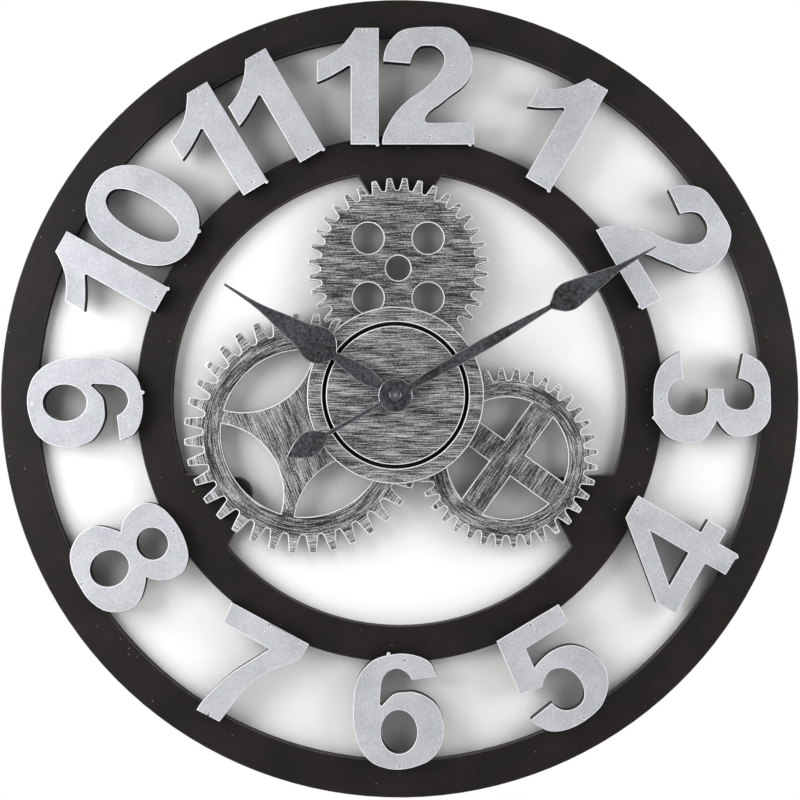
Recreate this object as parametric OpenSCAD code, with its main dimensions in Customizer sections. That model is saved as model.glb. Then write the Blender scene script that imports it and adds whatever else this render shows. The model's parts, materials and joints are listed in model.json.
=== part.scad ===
// Wall clock in the steampunk style. Two sawn rings are joined by big cut-out numerals,
// and three gear cut-outs on the inner ring's tabs carry a grooved disc with a battery
// movement behind it. The dial faces -Y, +Z is up, and the origin is the middle of the
// keyhole's round hole, in the plane of the wall.
// Every piece is drawn lying on its back, z being its height above the wall, and is then
// stood up against the wall.

/* [Rings] */
// Outer radius of the outer ring
outer_ring_r = 250; // [235:1:280]
// Width of the outer ring's band
outer_ring_w = 23; // [20:0.5:34]
// Outer radius of the inner ring
inner_ring_r = 165; // [162:0.5:170]
// Width of the inner ring's band
inner_ring_w = 22.5; // [16:0.5:30]
// Thickness of the board that both rings are cut from
ring_t = 9; // [8:0.5:14]
// How far each tab reaches in from the inner ring, as a share of the inner ring's bore
tab_reach_share = 0.2386; // [0.211:0.0001:0.281]
// Radius of a tab's round tip
tab_tip_r = 10.6; // [9.5:0.1:14]
// Lean of a tab's sides from its middle line, in degrees
tab_side_angle = 33; // [20:1:40]
// How far the hand shaft sits to the left of the rings' middle
shaft_left = 2.6; // [0:0.1:4]
// How far the hand shaft sits above the rings' middle
shaft_up = 2.2; // [0:0.1:4]

/* [Numerals] */
// How far a numeral laps over each ring
numeral_lap = 5.2; // [4.4:0.1:7]
// How far the numerals' middles lie inside the middle of the gap between the rings
numeral_inset = 1.7; // [0.5:0.1:3]
// Width of a numeral's hundred percent, as a share of the radius of the numerals' circle
numeral_width_share = 0.3726; // [0.36:0.0001:0.39]
// Thickness of the numerals' board
numeral_t = 12; // [8:0.5:16]
// Radius of the nub that the cutter left at some corners
nub_r = 1.2; // [0.6:0.1:1.6]

/* [Brads] */
// Radius of a brad's shank
brad_r = 0.5; // [0.4:0.05:0.7]
// Radius of a brad's head
brad_head_r = 0.9; // [0.8:0.05:1.1]
// Thickness of a brad's head
brad_head_t = 0.4; // [0.3:0.05:0.6]
// How deep a brad goes into the ring
brad_bite = 5; // [3:0.5:7]
// Distance of the outer brads from the outer ring's inner edge
outer_brad_inset = 1.7; // [1.4:0.1:2.2]
// Distance of the inner brads from the inner ring's outer edge
inner_brad_inset = 2.4; // [1.6:0.1:3]

/* [Gears] */
// Thickness of the gears' board
gear_t = 6; // [4:0.5:9]
// Teeth on each gear
gear_teeth = 36; // [30:1:40]
// Seam left where one gear is notched round another
gear_seam = 0.2; // [0.1:0.05:0.4]
// Room between the gears and the movement
window_gap = 1.5; // [0.5:0.1:2.5]

/* [Top gear] */
// Radius at the tips of the teeth, as a share of the inner ring's bore
top_gear_tip_share = 0.3951; // [0.379:0.0001:0.407]
// Radius at the roots of the teeth, as a share of the inner ring's bore
top_gear_root_share = 0.3425; // [0.33:0.0001:0.351]
// Distance of its middle from the hand shaft, as a share of the inner ring's bore
top_gear_dist_share = 0.5572; // [0.547:0.0001:0.575]
// Direction from the hand shaft, in degrees from three o'clock
top_gear_angle = 88.8; // [87:0.1:91]
// Turn of the teeth, in degrees
top_gear_turn = 5.7; // [0:0.1:10]
// Radius of the middle hole, as a share of the inner ring's bore
top_gear_bore_share = 0.0545; // [0.042:0.0001:0.07]
// Radius of each of the four round windows, as a share of the inner ring's bore
top_gear_hole_share = 0.0684; // [0.063:0.0001:0.077]
// Radius of the circle through the four round windows, as a share of the inner ring's bore
top_gear_hole_circle_share = 0.1853; // [0.175:0.0001:0.196]

/* [Left gear] */
// Radius at the tips of the teeth, as a share of the inner ring's bore
left_gear_tip_share = 0.5277; // [0.519:0.0001:0.533]
// Radius at the roots of the teeth, as a share of the inner ring's bore
left_gear_root_share = 0.4463; // [0.435:0.0001:0.456]
// Distance of its middle from the hand shaft, as a share of the inner ring's bore
left_gear_dist_share = 0.4323; // [0.428:0.0001:0.442]
// Direction from the hand shaft, in degrees from three o'clock
left_gear_angle = 202.7; // [202:0.1:204]
// Turn of the teeth, in degrees
left_gear_turn = 4.2; // [0:0.1:10]
// Width of the rim inside the teeth, as a share of the inner ring's bore
left_gear_rim_share = 0.0807; // [0.07:0.0001:0.091]
// Reach of the solid middle towards the lens windows, as a share of the inner ring's bore
left_gear_hub_share = 0.1726; // [0.161:0.0001:0.196]
// Radius of the lens windows' inner curve, as a share of the inner ring's bore
left_gear_lens_share = 0.3116; // [0.281:0.0001:0.351]
// Direction of the first lens window's middle, in degrees
left_gear_lens_turn = 33.5; // [30:0.5:36]

/* [Right gear] */
// Radius at the tips of the teeth, as a share of the inner ring's bore
right_gear_tip_share = 0.3965; // [0.386:0.0001:0.407]
// Radius at the roots of the teeth, as a share of the inner ring's bore
right_gear_root_share = 0.3418; // [0.33:0.0001:0.351]
// Distance of its middle from the hand shaft, as a share of the inner ring's bore
right_gear_dist_share = 0.5621; // [0.554:0.0001:0.568]
// Direction from the hand shaft, in degrees from three o'clock
right_gear_angle = -29.3; // [-30:0.1:-28]
// Turn of the teeth, in degrees
right_gear_turn = 4; // [0:0.1:10]
// Width of the rim inside the teeth, as a share of the inner ring's bore
right_gear_rim_share = 0.0751; // [0.07:0.0001:0.084]
// Width of the arms of the cross, as a share of the inner ring's bore
right_gear_arm_share = 0.1151; // [0.098:0.0001:0.126]
// Direction of the first arm, in degrees
right_gear_arm_turn = 54; // [50:0.5:58]

/* [Centre disc] */
// Radius of the disc, as a share of the inner ring's bore
disc_share = 0.3853; // [0.372:0.0001:0.4]
// Thickness of the disc
disc_t = 9; // [7:0.5:12]
// Inner radius of the turned groove, as a share of the inner ring's bore
groove_share = 0.3025; // [0.295:0.0001:0.316]
// Width of the groove
groove_w = 2.5; // [1.5:0.1:3.5]
// Depth of the groove
groove_d = 4; // [2:0.5:5]

/* [Screws] */
// Radius of a wood screw's shank
screw_r = 1.25; // [1:0.05:1.5]
// Radius of a wood screw's head
screw_head_r = 2.4; // [2:0.1:2.5]
// Depth of a wood screw's cone-shaped head
screw_head_d = 1.5; // [1:0.1:2]
// How deep the screws go into the gears and the disc
screw_bite = 4; // [3:0.5:5]
// Distance of the tab screws from the rings' middle, as a share of the inner ring's bore
tab_screw_circle_share = 0.8491; // [0.842:0.0001:0.863]
// Distance between the two screws of a tab
tab_screw_spacing = 13; // [10:0.5:13]

/* [Hanger] */
// Width of the keyhole plate
plate_w = 32; // [30:0.5:40]
// Height of the keyhole plate
plate_h = 18; // [17:0.5:19]
// Thickness of the keyhole plate
plate_t = 1.5; // [1:0.1:2.5]
// Radius of the keyhole's round hole
keyhole_r = 4; // [3.5:0.1:4.5]
// Width of the keyhole's slot
slot_w = 4.4; // [3.5:0.1:5]
// Height of the slot's upper end above the round hole's middle
slot_rise = 7; // [6:0.5:8]
// Height of the plate's middle above the round hole's middle
plate_rise = 3; // [2:0.5:4]
// Distance between the plate's two screws
plate_screw_spacing = 24; // [23:0.5:25]
// Depth of the pocket for the wall screw's head
hanger_pocket_d = 5.5; // [4:0.5:6.5]

/* [Hands] */
// Reach of the minute hand from the shaft
minute_reach = 185; // [150:1:215]
// Reach of the minute hand's tail
tail_reach = 77.4; // [50:0.5:100]
// Reach of the hour hand from the shaft
hour_reach = 126.2; // [100:1:150]
// Width of the minute hand's spade
minute_spade_w = 17.8; // [12:0.2:24]
// Width of the leaf on the minute hand's tail
tail_leaf_w = 15.6; // [10:0.2:20]
// Width of the hour hand's spade
hour_spade_w = 23.4; // [16:0.2:30]
// Radius of the round boss of both hands
hand_boss_r = 10.6; // [8:0.1:13]
// Thickness of the hands
hand_t = 1; // [0.6:0.1:1.5]
// Direction of the minute hand, in degrees from three o'clock
minute_angle = 29.7; // [0:0.1:360]
// Direction of the hour hand, in degrees from three o'clock
hour_angle = 147; // [0:0.1:360]
// Radius of the open nut on the minute hand
hand_nut_r = 4; // [3:0.1:5]
// Thickness of the open nut
hand_nut_t = 2; // [1.4:0.1:3]
// Radius of the recess in the open nut
hand_nut_recess_r = 2.8; // [2.2:0.1:2.9]

/* [Movement case] */
// Thickness of the movement
case_d = 16; // [16:0.1:17]
// Gap between the movement's back and the wall
case_stand = 1; // [0.5:0.1:1.5]
// Thickness of the case's side walls
case_wall = 1.5; // [1.2:0.1:1.6]
// Thickness of the case's front
front_t = 1.2; // [1:0.1:1.4]
// Thickness of the rear cover
cover_t = 1.2; // [1:0.1:1.4]
// Play round the rear cover
cover_play = 0.1; // [0.05:0.05:0.2]
// Thickness of the rubber gasket
gasket_t = 1; // [0.5:0.1:1.5]
// Width of the rubber gasket
gasket_w = 50; // [40:0.5:54]
// Radius of the case's rounded corners
case_corner_r = 2; // [1:0.1:3]
// Thickness of the wall between the battery's bay and the train
bay_wall_t = 1; // [0.8:0.1:1.2]
// Gap between that wall and a contact strip
strip_gap = 0.3; // [0.1:0.05:0.5]
// Width of the posts in the case's upper corners
corner_post_w = 2.2; // [2:0.1:2.4]
// Radius of the cover's screws
cover_screw_r = 0.6; // [0.5:0.05:0.7]
// Radius of their heads
cover_screw_head_r = 1; // [0.9:0.05:1.05]
// How deep they go into the corner posts
cover_screw_bite = 4; // [3:0.5:6]
// Outer radius of the threaded bushing
bushing_r = 3.9; // [3.7:0.1:4.2]
// Radius of the bushing's flange inside the case
bushing_flange_r = 5.5; // [5:0.1:6]
// Thickness of that flange
bushing_flange_t = 0.9; // [0.7:0.1:1.1]
// Fit of the bushing in the case, the washer and the nut
bushing_fit = 0.03; // [0.02:0.01:0.05]
// Length of the bushing in front of the movement
bushing_reach = 10.5; // [9:0.1:11]
// Room round the bushing in the disc
bushing_gap = 0.3; // [0.1:0.05:0.5]
// Outer radius of the washer
washer_r = 7; // [6:0.1:9]
// Thickness of the washer
washer_t = 0.5; // [0.4:0.1:0.8]
// Distance across the flats of the hexagonal nut
nut_flats = 12; // [10:0.1:13]
// Thickness of the hexagonal nut
nut_t = 2.5; // [2:0.1:2.6]

/* [Pipes and shafts] */
// Radius of the seconds wheel's shaft
shaft_r = 0.6; // [0.5:0.02:0.7]
// Outer radius of the minute pipe
minute_pipe_r = 1.4; // [1.2:0.05:1.5]
// Outer radius of the hour pipe
hour_pipe_r = 2.3; // [2:0.05:2.5]
// Running clearance between a shaft and its hole
running_gap = 0.06; // [0.03:0.01:0.09]
// Play between a hand's hole and its pipe
hand_gap = 0.02; // [0.01:0.01:0.04]
// Gap between the bushing's end and the hour hand
hour_hand_gap = 0.7; // [0.5:0.1:1.5]
// Gap between the two hands
hands_gap = 1.2; // [0.8:0.1:2]

/* [Train] */
// Height of the bridge above the movement's back
bridge_stand = 2.4; // [2.3:0.05:2.6]
// Thickness of the bridge
bridge_t = 1; // [0.8:0.05:1.1]
// Gap between the bridge and the wall of the battery's bay
bridge_bay_gap = 0.26; // [0.1:0.02:0.4]
// Gap between the bridge and the circuit board
bridge_board_gap = 1.26; // [0.5:0.02:1.5]
// Room between the bridge and the first wheel
bridge_clear = 0.6; // [0.5:0.05:0.7]
// Radius of the bridge's pillars
pillar_r = 1.3; // [1.1:0.05:1.4]
// Radius of the pin on each pillar
pillar_pin_r = 0.7; // [0.5:0.05:0.8]
// How far the pins stand past the bridge
pillar_pin_past = 0.2; // [0.1:0.05:0.4]
// Distance from the hand shaft to the third wheel
third_dist = 8.5; // [8.4:0.01:8.6]
// Direction of the third wheel, in degrees
third_angle = 165; // [160:1:168]
// Distance from the hand shaft to the intermediate wheel
middle_dist = 8.7; // [8.65:0.01:8.75]
// Direction of the intermediate wheel, in degrees
middle_angle = 75; // [73:1:78]
// Distance from the intermediate wheel to the rotor
rotor_dist = 6; // [5.9:0.01:6.1]
// Direction from the intermediate wheel to the rotor, in degrees
rotor_angle = 60; // [57:1:63]
// Distance from the hand shaft to the motion wheel
motion_dist = 8.4; // [8.2:0.01:8.45]
// Direction of the motion wheel, in degrees
motion_angle = -5; // [-8:1:-2]
// Distance from the motion wheel to the setting stem
setting_dist = 8.4; // [8.2:0.01:8.5]
// Direction from the motion wheel to the setting stem, in degrees
setting_angle = -20; // [-24:1:-16]
// Thickness of a wheel
wheel_t = 0.8; // [0.6:0.05:0.9]
// Distance from one wheel's level to the next
level_step = 1.6; // [1.55:0.01:1.62]
// How far a pinion stands past the wheel that it turns with
pinion_past = 0.3; // [0.2:0.05:0.4]
// Radius of the wheels' arbors
arbor_r = 0.4; // [0.35:0.01:0.45]
// Play of an arbor in its bearings
arbor_gap = 0.05; // [0.03:0.01:0.08]
// How deep an arbor sits in its bearing post
pivot_depth = 0.8; // [0.5:0.1:1]
// Room between a pinion and its bearing post
post_clear = 0.3; // [0.2:0.05:0.4]
// Radius of the case's bearing posts
post_r = 0.72; // [0.7:0.01:0.78]
// Radius of the setting knob
knob_r = 5; // [4:0.1:5.4]
// Height of the setting knob's back above the wall
knob_z = 0.6; // [0.3:0.05:0.8]
// Thickness of the setting knob
knob_t = 1.4; // [1:0.1:1.6]
// Room round the setting knob
knob_gap = 0.6; // [0.3:0.1:1]
// Radius of the setting knob's stem
stem_r = 1.2; // [1:0.05:1.4]

/* [Motor] */
// Distance from the rotor's pinion to its magnet
magnet_rise = 0.9; // [0.8:0.05:1]
// Radius of the rotor's hub
rotor_hub_r = 0.9; // [0.6:0.05:1]
// Radius of the rotor's magnet
magnet_r = 3; // [2.5:0.05:3.1]
// Thickness of the rotor's magnet
magnet_t = 3; // [2.5:0.1:3.2]
// Air gap between the magnet and the stator
air_gap = 0.5; // [0.4:0.05:0.7]
// Thickness of the stator and of the coil's core
stator_t = 1.2; // [1:0.1:1.3]
// Width of the stator's bar and arms
stator_w = 3.6; // [3:0.1:4]
// Width of the stator's ring round the magnet
stator_rim_w = 1.5; // [1.2:0.05:1.6]
// Radius of the posts that the stator sits on
stator_post_r = 1.3; // [1:0.05:1.5]
// Distance between the stator's arms
stator_span = 26; // [25:0.5:27]
// Height of the coil's middle above the rotor
coil_rise = 7.2; // [7:0.1:7.4]
// How much narrower the coil's core is than the stator's arms
core_step = 0.8; // [0.4:0.1:1]
// Play of the core in the bobbin
core_gap = 0.05; // [0.03:0.01:0.1]
// Radius of the bobbin's tube
bobbin_tube_r = 2.1; // [2:0.05:2.4]
// Radius of the bobbin's pins
bobbin_pin_r = 0.35; // [0.25:0.05:0.39]
// Radius of the bobbin's flanges
bobbin_r = 3.4; // [3:0.1:3.5]
// Thickness of the bobbin's flanges
flange_t = 0.8; // [0.6:0.1:1]
// Length of the winding
winding_len = 18; // [14:0.5:19]
// Radius of the winding
winding_r = 3; // [2.7:0.1:3.2]
// Gap between the winding and the rim round the rotor
winding_gap = 0.2; // [0.1:0.05:0.3]
// Thickness of the circuit board
board_t = 0.8; // [0.6:0.1:1]
// Height of the circuit board
board_h = 6.6; // [5:0.1:6.8]
// Radius of the blob over the chip
chip_r = 2.2; // [1.5:0.1:3]
// Height of the blob over the chip
chip_t = 0.8; // [0.5:0.1:1.2]
// Radius of the crystal's can
crystal_r = 1; // [0.7:0.05:1.5]
// Length of the crystal's can
crystal_len = 6; // [4:0.5:6.5]
// Place of the chip across the case, as a share of half its width
chip_x_share = -0.62; // [-0.7:0.01:-0.55]
// Place of the crystal across the case, as a share of half its width
crystal_x_share = -0.8; // [-0.86:0.01:-0.75]

/* [Battery] */
// Radius of the battery
battery_r = 7.1; // [6.9:0.05:7.15]
// Length of the battery's can
battery_len = 49.2; // [48:0.1:49.3]
// Radius of the battery's raised end
battery_tip_r = 2.7; // [2:0.1:3.2]
// Length of the battery's raised end
battery_tip_len = 1.2; // [1:0.1:1.3]
// Room round the battery in its bay
battery_gap = 0.2; // [0.1:0.05:0.3]
// Gap between the battery and its contacts
contact_gap = 0.05; // [0.02:0.01:0.1]
// Thickness of the contact strips
contact_t = 0.4; // [0.3:0.05:0.5]
// Width of the contact strips
contact_w = 8; // [7.5:0.1:9]
// Radius of the domes on the contact strips
contact_dome_r = 2.4; // [2:0.1:3]
// Height of the domes on the contact strips
contact_dome_h = 0.85; // [0.6:0.05:1.2]

/* [Hidden] */
$fn = 96;

silver_paint = "#b9bbc1";
dark_paint = "#3a302b";
graphite = "#3f4145";
steel = "#a8abb0";
zinc = "#c9cbd0";
brass = "#b9974e";
case_black = "#26272a";
white_plastic = "#e4e4de";
cream_plastic = "#d8cfb4";
copper = "#a8622e";
rubber = "#1b1b1c";
board_green = "#2f6b45";
magnet_grey = "#55575c";
battery_wrap = "#b06f3a";

// Overrun of every cut past the face that it opens
over = 1;
// Points that a curve of an outline gets between two drawn points
curve_steps = 4;

outer_ring_bore_r = outer_ring_r - outer_ring_w;
inner_ring_bore_r = inner_ring_r - inner_ring_w;
// The numerals bridge the gap between the rings, and their width follows the dial
numeral_circle_r = (outer_ring_bore_r + inner_ring_r) / 2 - numeral_inset;
numeral_h = outer_ring_bore_r - inner_ring_r + 2 * numeral_lap;
numeral_w = numeral_width_share * numeral_circle_r;
// The tabs, the gears and the disc follow the inner ring
tab_reach = tab_reach_share * inner_ring_bore_r;
tab_screw_circle_r = tab_screw_circle_share * inner_ring_bore_r;
top_gear_tip_r = top_gear_tip_share * inner_ring_bore_r;
top_gear_root_r = top_gear_root_share * inner_ring_bore_r;
top_gear_dist = top_gear_dist_share * inner_ring_bore_r;
top_gear_bore_r = top_gear_bore_share * inner_ring_bore_r;
top_gear_hole_r = top_gear_hole_share * inner_ring_bore_r;
top_gear_hole_circle_r = top_gear_hole_circle_share * inner_ring_bore_r;
left_gear_tip_r = left_gear_tip_share * inner_ring_bore_r;
left_gear_root_r = left_gear_root_share * inner_ring_bore_r;
left_gear_dist = left_gear_dist_share * inner_ring_bore_r;
left_gear_rim_w = left_gear_rim_share * inner_ring_bore_r;
left_gear_hub_r = left_gear_hub_share * inner_ring_bore_r;
left_gear_lens_r = left_gear_lens_share * inner_ring_bore_r;
right_gear_tip_r = right_gear_tip_share * inner_ring_bore_r;
right_gear_root_r = right_gear_root_share * inner_ring_bore_r;
right_gear_dist = right_gear_dist_share * inner_ring_bore_r;
right_gear_rim_w = right_gear_rim_share * inner_ring_bore_r;
right_gear_arm_w = right_gear_arm_share * inner_ring_bore_r;
disc_r = disc_share * inner_ring_bore_r;
groove_r = groove_share * inner_ring_bore_r;
// Height of the keyhole's round hole above the rings' middle
hanger_rise = outer_ring_r - outer_ring_w / 2 - plate_rise;
gear_z = ring_t;
disc_z = gear_z + gear_t;
disc_front = disc_z + disc_t;
numeral_front = ring_t + numeral_t;
case_front = case_stand + case_d;
disc_pocket_d = case_front + gasket_t - disc_z;
// The case is as wide as the battery between its two contacts
battery_whole = battery_len + battery_tip_len;
strip_inside = battery_whole / 2 + contact_gap + contact_dome_h;
inside_half = strip_inside + contact_t;
case_half = inside_half + case_wall;
case_w = 2 * case_half;
window_w = case_w + 2 * window_gap;

// Stands a piece drawn about the rings' middle against the wall
module at_rings()
    translate([0, 0, -hanger_rise]) rotate([90, 0, 0]) children();

// Stands a piece drawn about the hand shaft against the wall
module at_shaft()
    at_rings() translate([-shaft_left, shaft_up, 0]) children();

function polar(r, a) = [r * cos(a), r * sin(a)];

// Outlines through hand-drawn points

// A point is [x, y, smooth]: the outline turns sharply at a point with smooth 0, and
// curves through one with smooth 1.
function spot(p) = [p[0], p[1]];
function unit(v) = norm(v) > 0 ? v / norm(v) : [0, 0];
// Direction of the curve at point i
function heading(pts, i) =
    let (n = len(pts))
    unit(spot(pts[(i + 1) % n]) - spot(pts[(i + n - 1) % n]));
// A sharp end takes the slope that makes the stretch a plain parabola
function end_slope(pts, i, chord, other) =
    pts[i][2] == 1 ? heading(pts, i) * norm(chord) : 2 * chord - other;
function hermite(a, b, slope_a, slope_b, t) =
    a * (2 * t ^ 3 - 3 * t ^ 2 + 1) + slope_a * (t ^ 3 - 2 * t ^ 2 + t)
    + b * (3 * t ^ 2 - 2 * t ^ 3) + slope_b * (t ^ 3 - t ^ 2);
function stretch(pts, i) =
    let (j = (i + 1) % len(pts),
         a = spot(pts[i]),
         b = spot(pts[j]),
         chord = b - a,
         slope_b = end_slope(pts, j, chord, chord),
         slope_a = end_slope(pts, i, chord, slope_b),
         last_slope = pts[j][2] == 1 ? slope_b : 2 * chord - slope_a)
    pts[i][2] + pts[j][2] == 0 ? [a]
    : [for (k = [0:curve_steps - 1]) hermite(a, b, slope_a, last_slope, k / curve_steps)];
function outline(pts) = [for (i = [0:len(pts) - 1]) each stretch(pts, i)];
function oval(half_w, half_h, at = [0, 0], squareness = 2) =
    [for (a = [0:7.5:359]) at + [half_w * sign(cos(a)) * abs(cos(a)) ^ (2 / squareness),
                                 half_h * sign(sin(a)) * abs(sin(a)) ^ (2 / squareness)]];
function arc(at, r, from, to, steps) =
    [for (k = [0:steps]) at + polar(r, from + (to - from) * k / steps)];
function round_box(w, h, r) =
    concat(arc([w / 2 - r, h / 2 - r], r, 0, 90, 4), arc([r - w / 2, h / 2 - r], r, 90, 180, 4),
           arc([r - w / 2, r - h / 2], r, 180, 270, 4), arc([w / 2 - r, r - h / 2], r, 270, 360, 4));

// Nub that the cutter left on the lower edge of a digit, at [across, up] in percent
function bottom_nub(spot_shares) =
    let (x = spot_shares[0], y = spot_shares[1])
    [for (a = [0:-45:-180]) [x + 100 * nub_r * cos(a) / numeral_w, y + 100 * nub_r * sin(a) / numeral_h,
                             a == 0 || a == -180 ? 0 : 1]];

// Where the cutter left a nub on a lower edge, in percent of the numeral's width and height
two_nub_shares = [34.5, -50];
three_nub_shares = [16.3, -50];
four_nub_shares = [27, -50];

// Digits, in percent of the numeral's width and height about its middle
one_shares = [[12, -50, 0], [12, 50, 0], [-8, 50, 0], [-14, 41, 1], [-22.5, 32, 1], [-32, 26, 1],
    [-41, 22.5, 0], [-41, 3.5, 0], [-31.5, 7.5, 1], [-22.5, 12.5, 1], [-14.5, 17.5, 0],
    [-12.5, 17.5, 1], [-12, 15, 0], [-12, -50, 0]];
two_shares = [[-40, 21.5, 0], [-38, 32, 1], [-32.5, 41, 1], [-24, 48, 1], [-10.5, 50.5, 1],
    [0, 51, 1], [17, 50, 1], [26, 44, 1], [32.5, 36, 1], [36, 26.5, 1], [36.5, 19, 1],
    [34.5, 8.5, 1], [28.5, 0, 1], [17, -8.5, 1], [8.5, -15.5, 1], [0, -21.5, 1],
    [-4.5, -28.5, 1], [-1.5, -31.5, 0], [37.5, -31, 0], [38, -50, 0], each bottom_nub(two_nub_shares),
    [-41, -50, 0], [-39.5, -41, 1], [-32.5, -27.5, 1], [-26, -19, 1], [-17, -10.5, 1], [-8.5, -5, 1],
    [0, 2, 1], [7, 9.5, 1], [11, 16.5, 1], [12.5, 23, 1], [10.5, 29, 1], [4.5, 34, 1],
    [-1.5, 35, 1], [-8.5, 34, 1], [-13.5, 29, 1], [-17, 19.5, 0]];
three_shares = [[-39, 26.5, 0], [-36, 34.5, 1], [-30, 43, 1], [-17, 49, 1], [-2.5, 50, 1],
    [15.5, 49.5, 1], [26, 43, 1], [31, 34.5, 1], [32.5, 26, 1], [32, 17, 1], [26, 9.5, 1],
    [18, 4, 0], [26, 0, 1], [34.5, -7, 1], [37.5, -17, 1], [37, -27.5, 1], [32.5, -38.5, 1],
    [26, -44, 1], each bottom_nub(three_nub_shares), [0, -50.5, 1], [-17, -49, 1], [-30, -43, 1],
    [-37, -34.5, 1], [-41, -27, 0], [-17, -25, 0], [-15.5, -31, 1], [-10.5, -36, 1],
    [-1, -38.5, 1], [8.5, -35, 1], [13.5, -27.5, 1], [14, -19, 1], [10.5, -8.5, 1],
    [4.5, -4.5, 1], [-2.5, -3.5, 1], [-8.5, -4, 0], [-8.5, 9.5, 0], [-2.5, 10, 1],
    [4.5, 12, 1], [8.5, 18, 1], [9.5, 26, 1], [7.5, 32, 1], [2.5, 35.5, 1], [-3.5, 36.5, 1],
    [-11, 35, 1], [-15.5, 29, 1], [-17.5, 22.5, 0]];
four_shares = [[8.5, 49.5, 0], [30.5, 49.5, 0], [30, -13, 0], [42.5, -13, 0], [42.5, -31, 0],
    [29.5, -31, 0], [29.5, -50, 0], each bottom_nub(four_nub_shares), [9, -49.5, 0], [9, -29.5, 0],
    [-41.5, -29, 0], [-41.5, -10.5, 0]];
four_eye_shares = [[9.5, 26, 0], [9.5, -12.5, 0], [-23.5, -12.5, 0]];
five_shares = [[-32, 46.5, 0], [30, 47.5, 0], [29.5, 30.5, 0], [-13.5, 28.5, 0],
    [-15.5, 10.5, 0], [-7, 13.5, 1], [5, 15.5, 1], [19, 13, 1], [28.5, 6, 1], [35, -4.5, 1],
    [37.5, -15.5, 1], [36, -26, 1], [32, -34.5, 1], [26, -41, 1], [17, -47, 1],
    [0, -50.5, 1], [-17, -49.5, 1], [-30, -44, 1], [-37, -35, 1], [-40, -26.5, 0],
    [-17, -23, 0], [-15.5, -28.5, 1], [-10.5, -34.5, 1], [-1.5, -37, 1], [7, -34.5, 1],
    [12, -27.5, 1], [13.5, -17, 1], [10.5, -7, 1], [4.5, -1, 1], [-4.5, 1.5, 1],
    [-11, -1, 1], [-18, -7, 0], [-37.5, -3.5, 0]];
six_shares = [[32, 30, 0], [30, 34.5, 1], [26, 42, 1], [17, 47, 1], [4.5, 49.5, 1],
    [-8.5, 48.5, 1], [-21.5, 44.5, 1], [-32.5, 34.5, 1], [-38, 21.5, 1], [-40, 1.5, 1],
    [-39.5, -13, 1], [-36, -27.5, 1], [-30, -38, 1], [-19, -46.5, 1], [0, -50, 1],
    [21.5, -44.5, 1], [31, -37, 1], [36, -27.5, 1], [38, -15.5, 1], [37, -7, 1],
    [32.5, 4.5, 1], [24, 12, 1], [13, 16.5, 1], [4.5, 16.5, 1], [-4.5, 15, 1],
    [-11, 9.5, 1], [-15.5, 4.5, 0], [-17, 6.5, 0], [-16.5, 17, 1], [-15.5, 26, 1],
    [-11, 33.5, 1], [-4.5, 36.5, 1], [0, 36.5, 1], [7, 32.5, 1], [10.5, 27, 0]];
six_eye_shares = [15.7, 18.9, -0.6, -17.6];
seven_shares = [[-37.5, 45, 0], [38, 47, 0], [38, 34.5, 0], [36.5, 30, 1], [24, 15.5, 1],
    [15.5, 2.5, 1], [10.5, -11, 1], [7.5, -24, 1], [6, -38.5, 1], [4.5, -49, 0],
    [-17.5, -50, 0], [-16.5, -38.5, 1], [-12, -21.5, 1], [-6, -5, 1], [2.5, 11, 1],
    [10.5, 26.5, 0], [-35, 26.5, 0]];
eight_half_shares = [[0, 49, 1], [14, 47.5, 1], [26, 43, 1], [33.5, 34.5, 1], [34.5, 25, 1],
    [31, 13, 1], [22, 3.5, 0], [31.5, -4.5, 1], [37.5, -12.5, 1], [39, -22, 1],
    [36, -33, 1], [28, -43, 1], [14, -49, 1], [0, -50, 1]];
eight_eye_shares = [[14, 13.5, 0, 22.3], [15.4, 17.2, 0, -20.2]];
zero_shares = [38.6, 50.2, 2.25];
zero_eye_shares = [15.4, 34.8, 2.3];
nine_shift_shares = [-4, 1.5];

// Where the cutter left a nub on a corner or a curve, in the same percent
one_nub_shares = [11, -50];
six_nub_shares = [-9.5, 49.2];
zero_nub_shares = [12.5, -48.8];

// Percent of the numeral's width and height, in millimetres
function percent(x, y) = [x * numeral_w / 100, y * numeral_h / 100];
function grown(shares) = [for (p = shares) [each percent(p[0], p[1]), p[2]]];
function mirrored_half(half) =
    concat(half, [for (i = [len(half) - 2:-1:1]) [-half[i][0], half[i][1], half[i][2]]]);
function grown_oval(s) =
    let (half = percent(s[0], s[1])) oval(half[0], half[1], percent(s[2], s[3]));

module nub(shares)
    translate(percent(shares[0], shares[1])) circle(nub_r);

module one() {
    polygon(outline(grown(one_shares)));
    nub(one_nub_shares);
}

module two()
    polygon(outline(grown(two_shares)));

module three()
    polygon(outline(grown(three_shares)));

module four()
    difference() {
        polygon(outline(grown(four_shares)));
        polygon(outline(grown(four_eye_shares)));
    }

module five()
    polygon(outline(grown(five_shares)));

module six() {
    difference() {
        polygon(outline(grown(six_shares)));
        polygon(grown_oval(six_eye_shares));
    }
    nub(six_nub_shares);
}

module seven()
    polygon(outline(grown(seven_shares)));

module eight()
    difference() {
        polygon(outline(grown(mirrored_half(eight_half_shares))));
        for (eye = eight_eye_shares) polygon(grown_oval(eye));
    }

module nine()
    translate(percent(nine_shift_shares[0], nine_shift_shares[1])) rotate(180) six();

module squared_oval(shares) {
    half = percent(shares[0], shares[1]);
    polygon(oval(half[0], half[1], squareness = shares[2]));
}

module zero() {
    difference() {
        squared_oval(zero_shares);
        squared_oval(zero_eye_shares);
    }
    nub(zero_nub_shares);
}

// Turns to an hour of the dial, with y pointing outwards
module at_hour(hour)
    rotate(-30 * hour) children();

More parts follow.
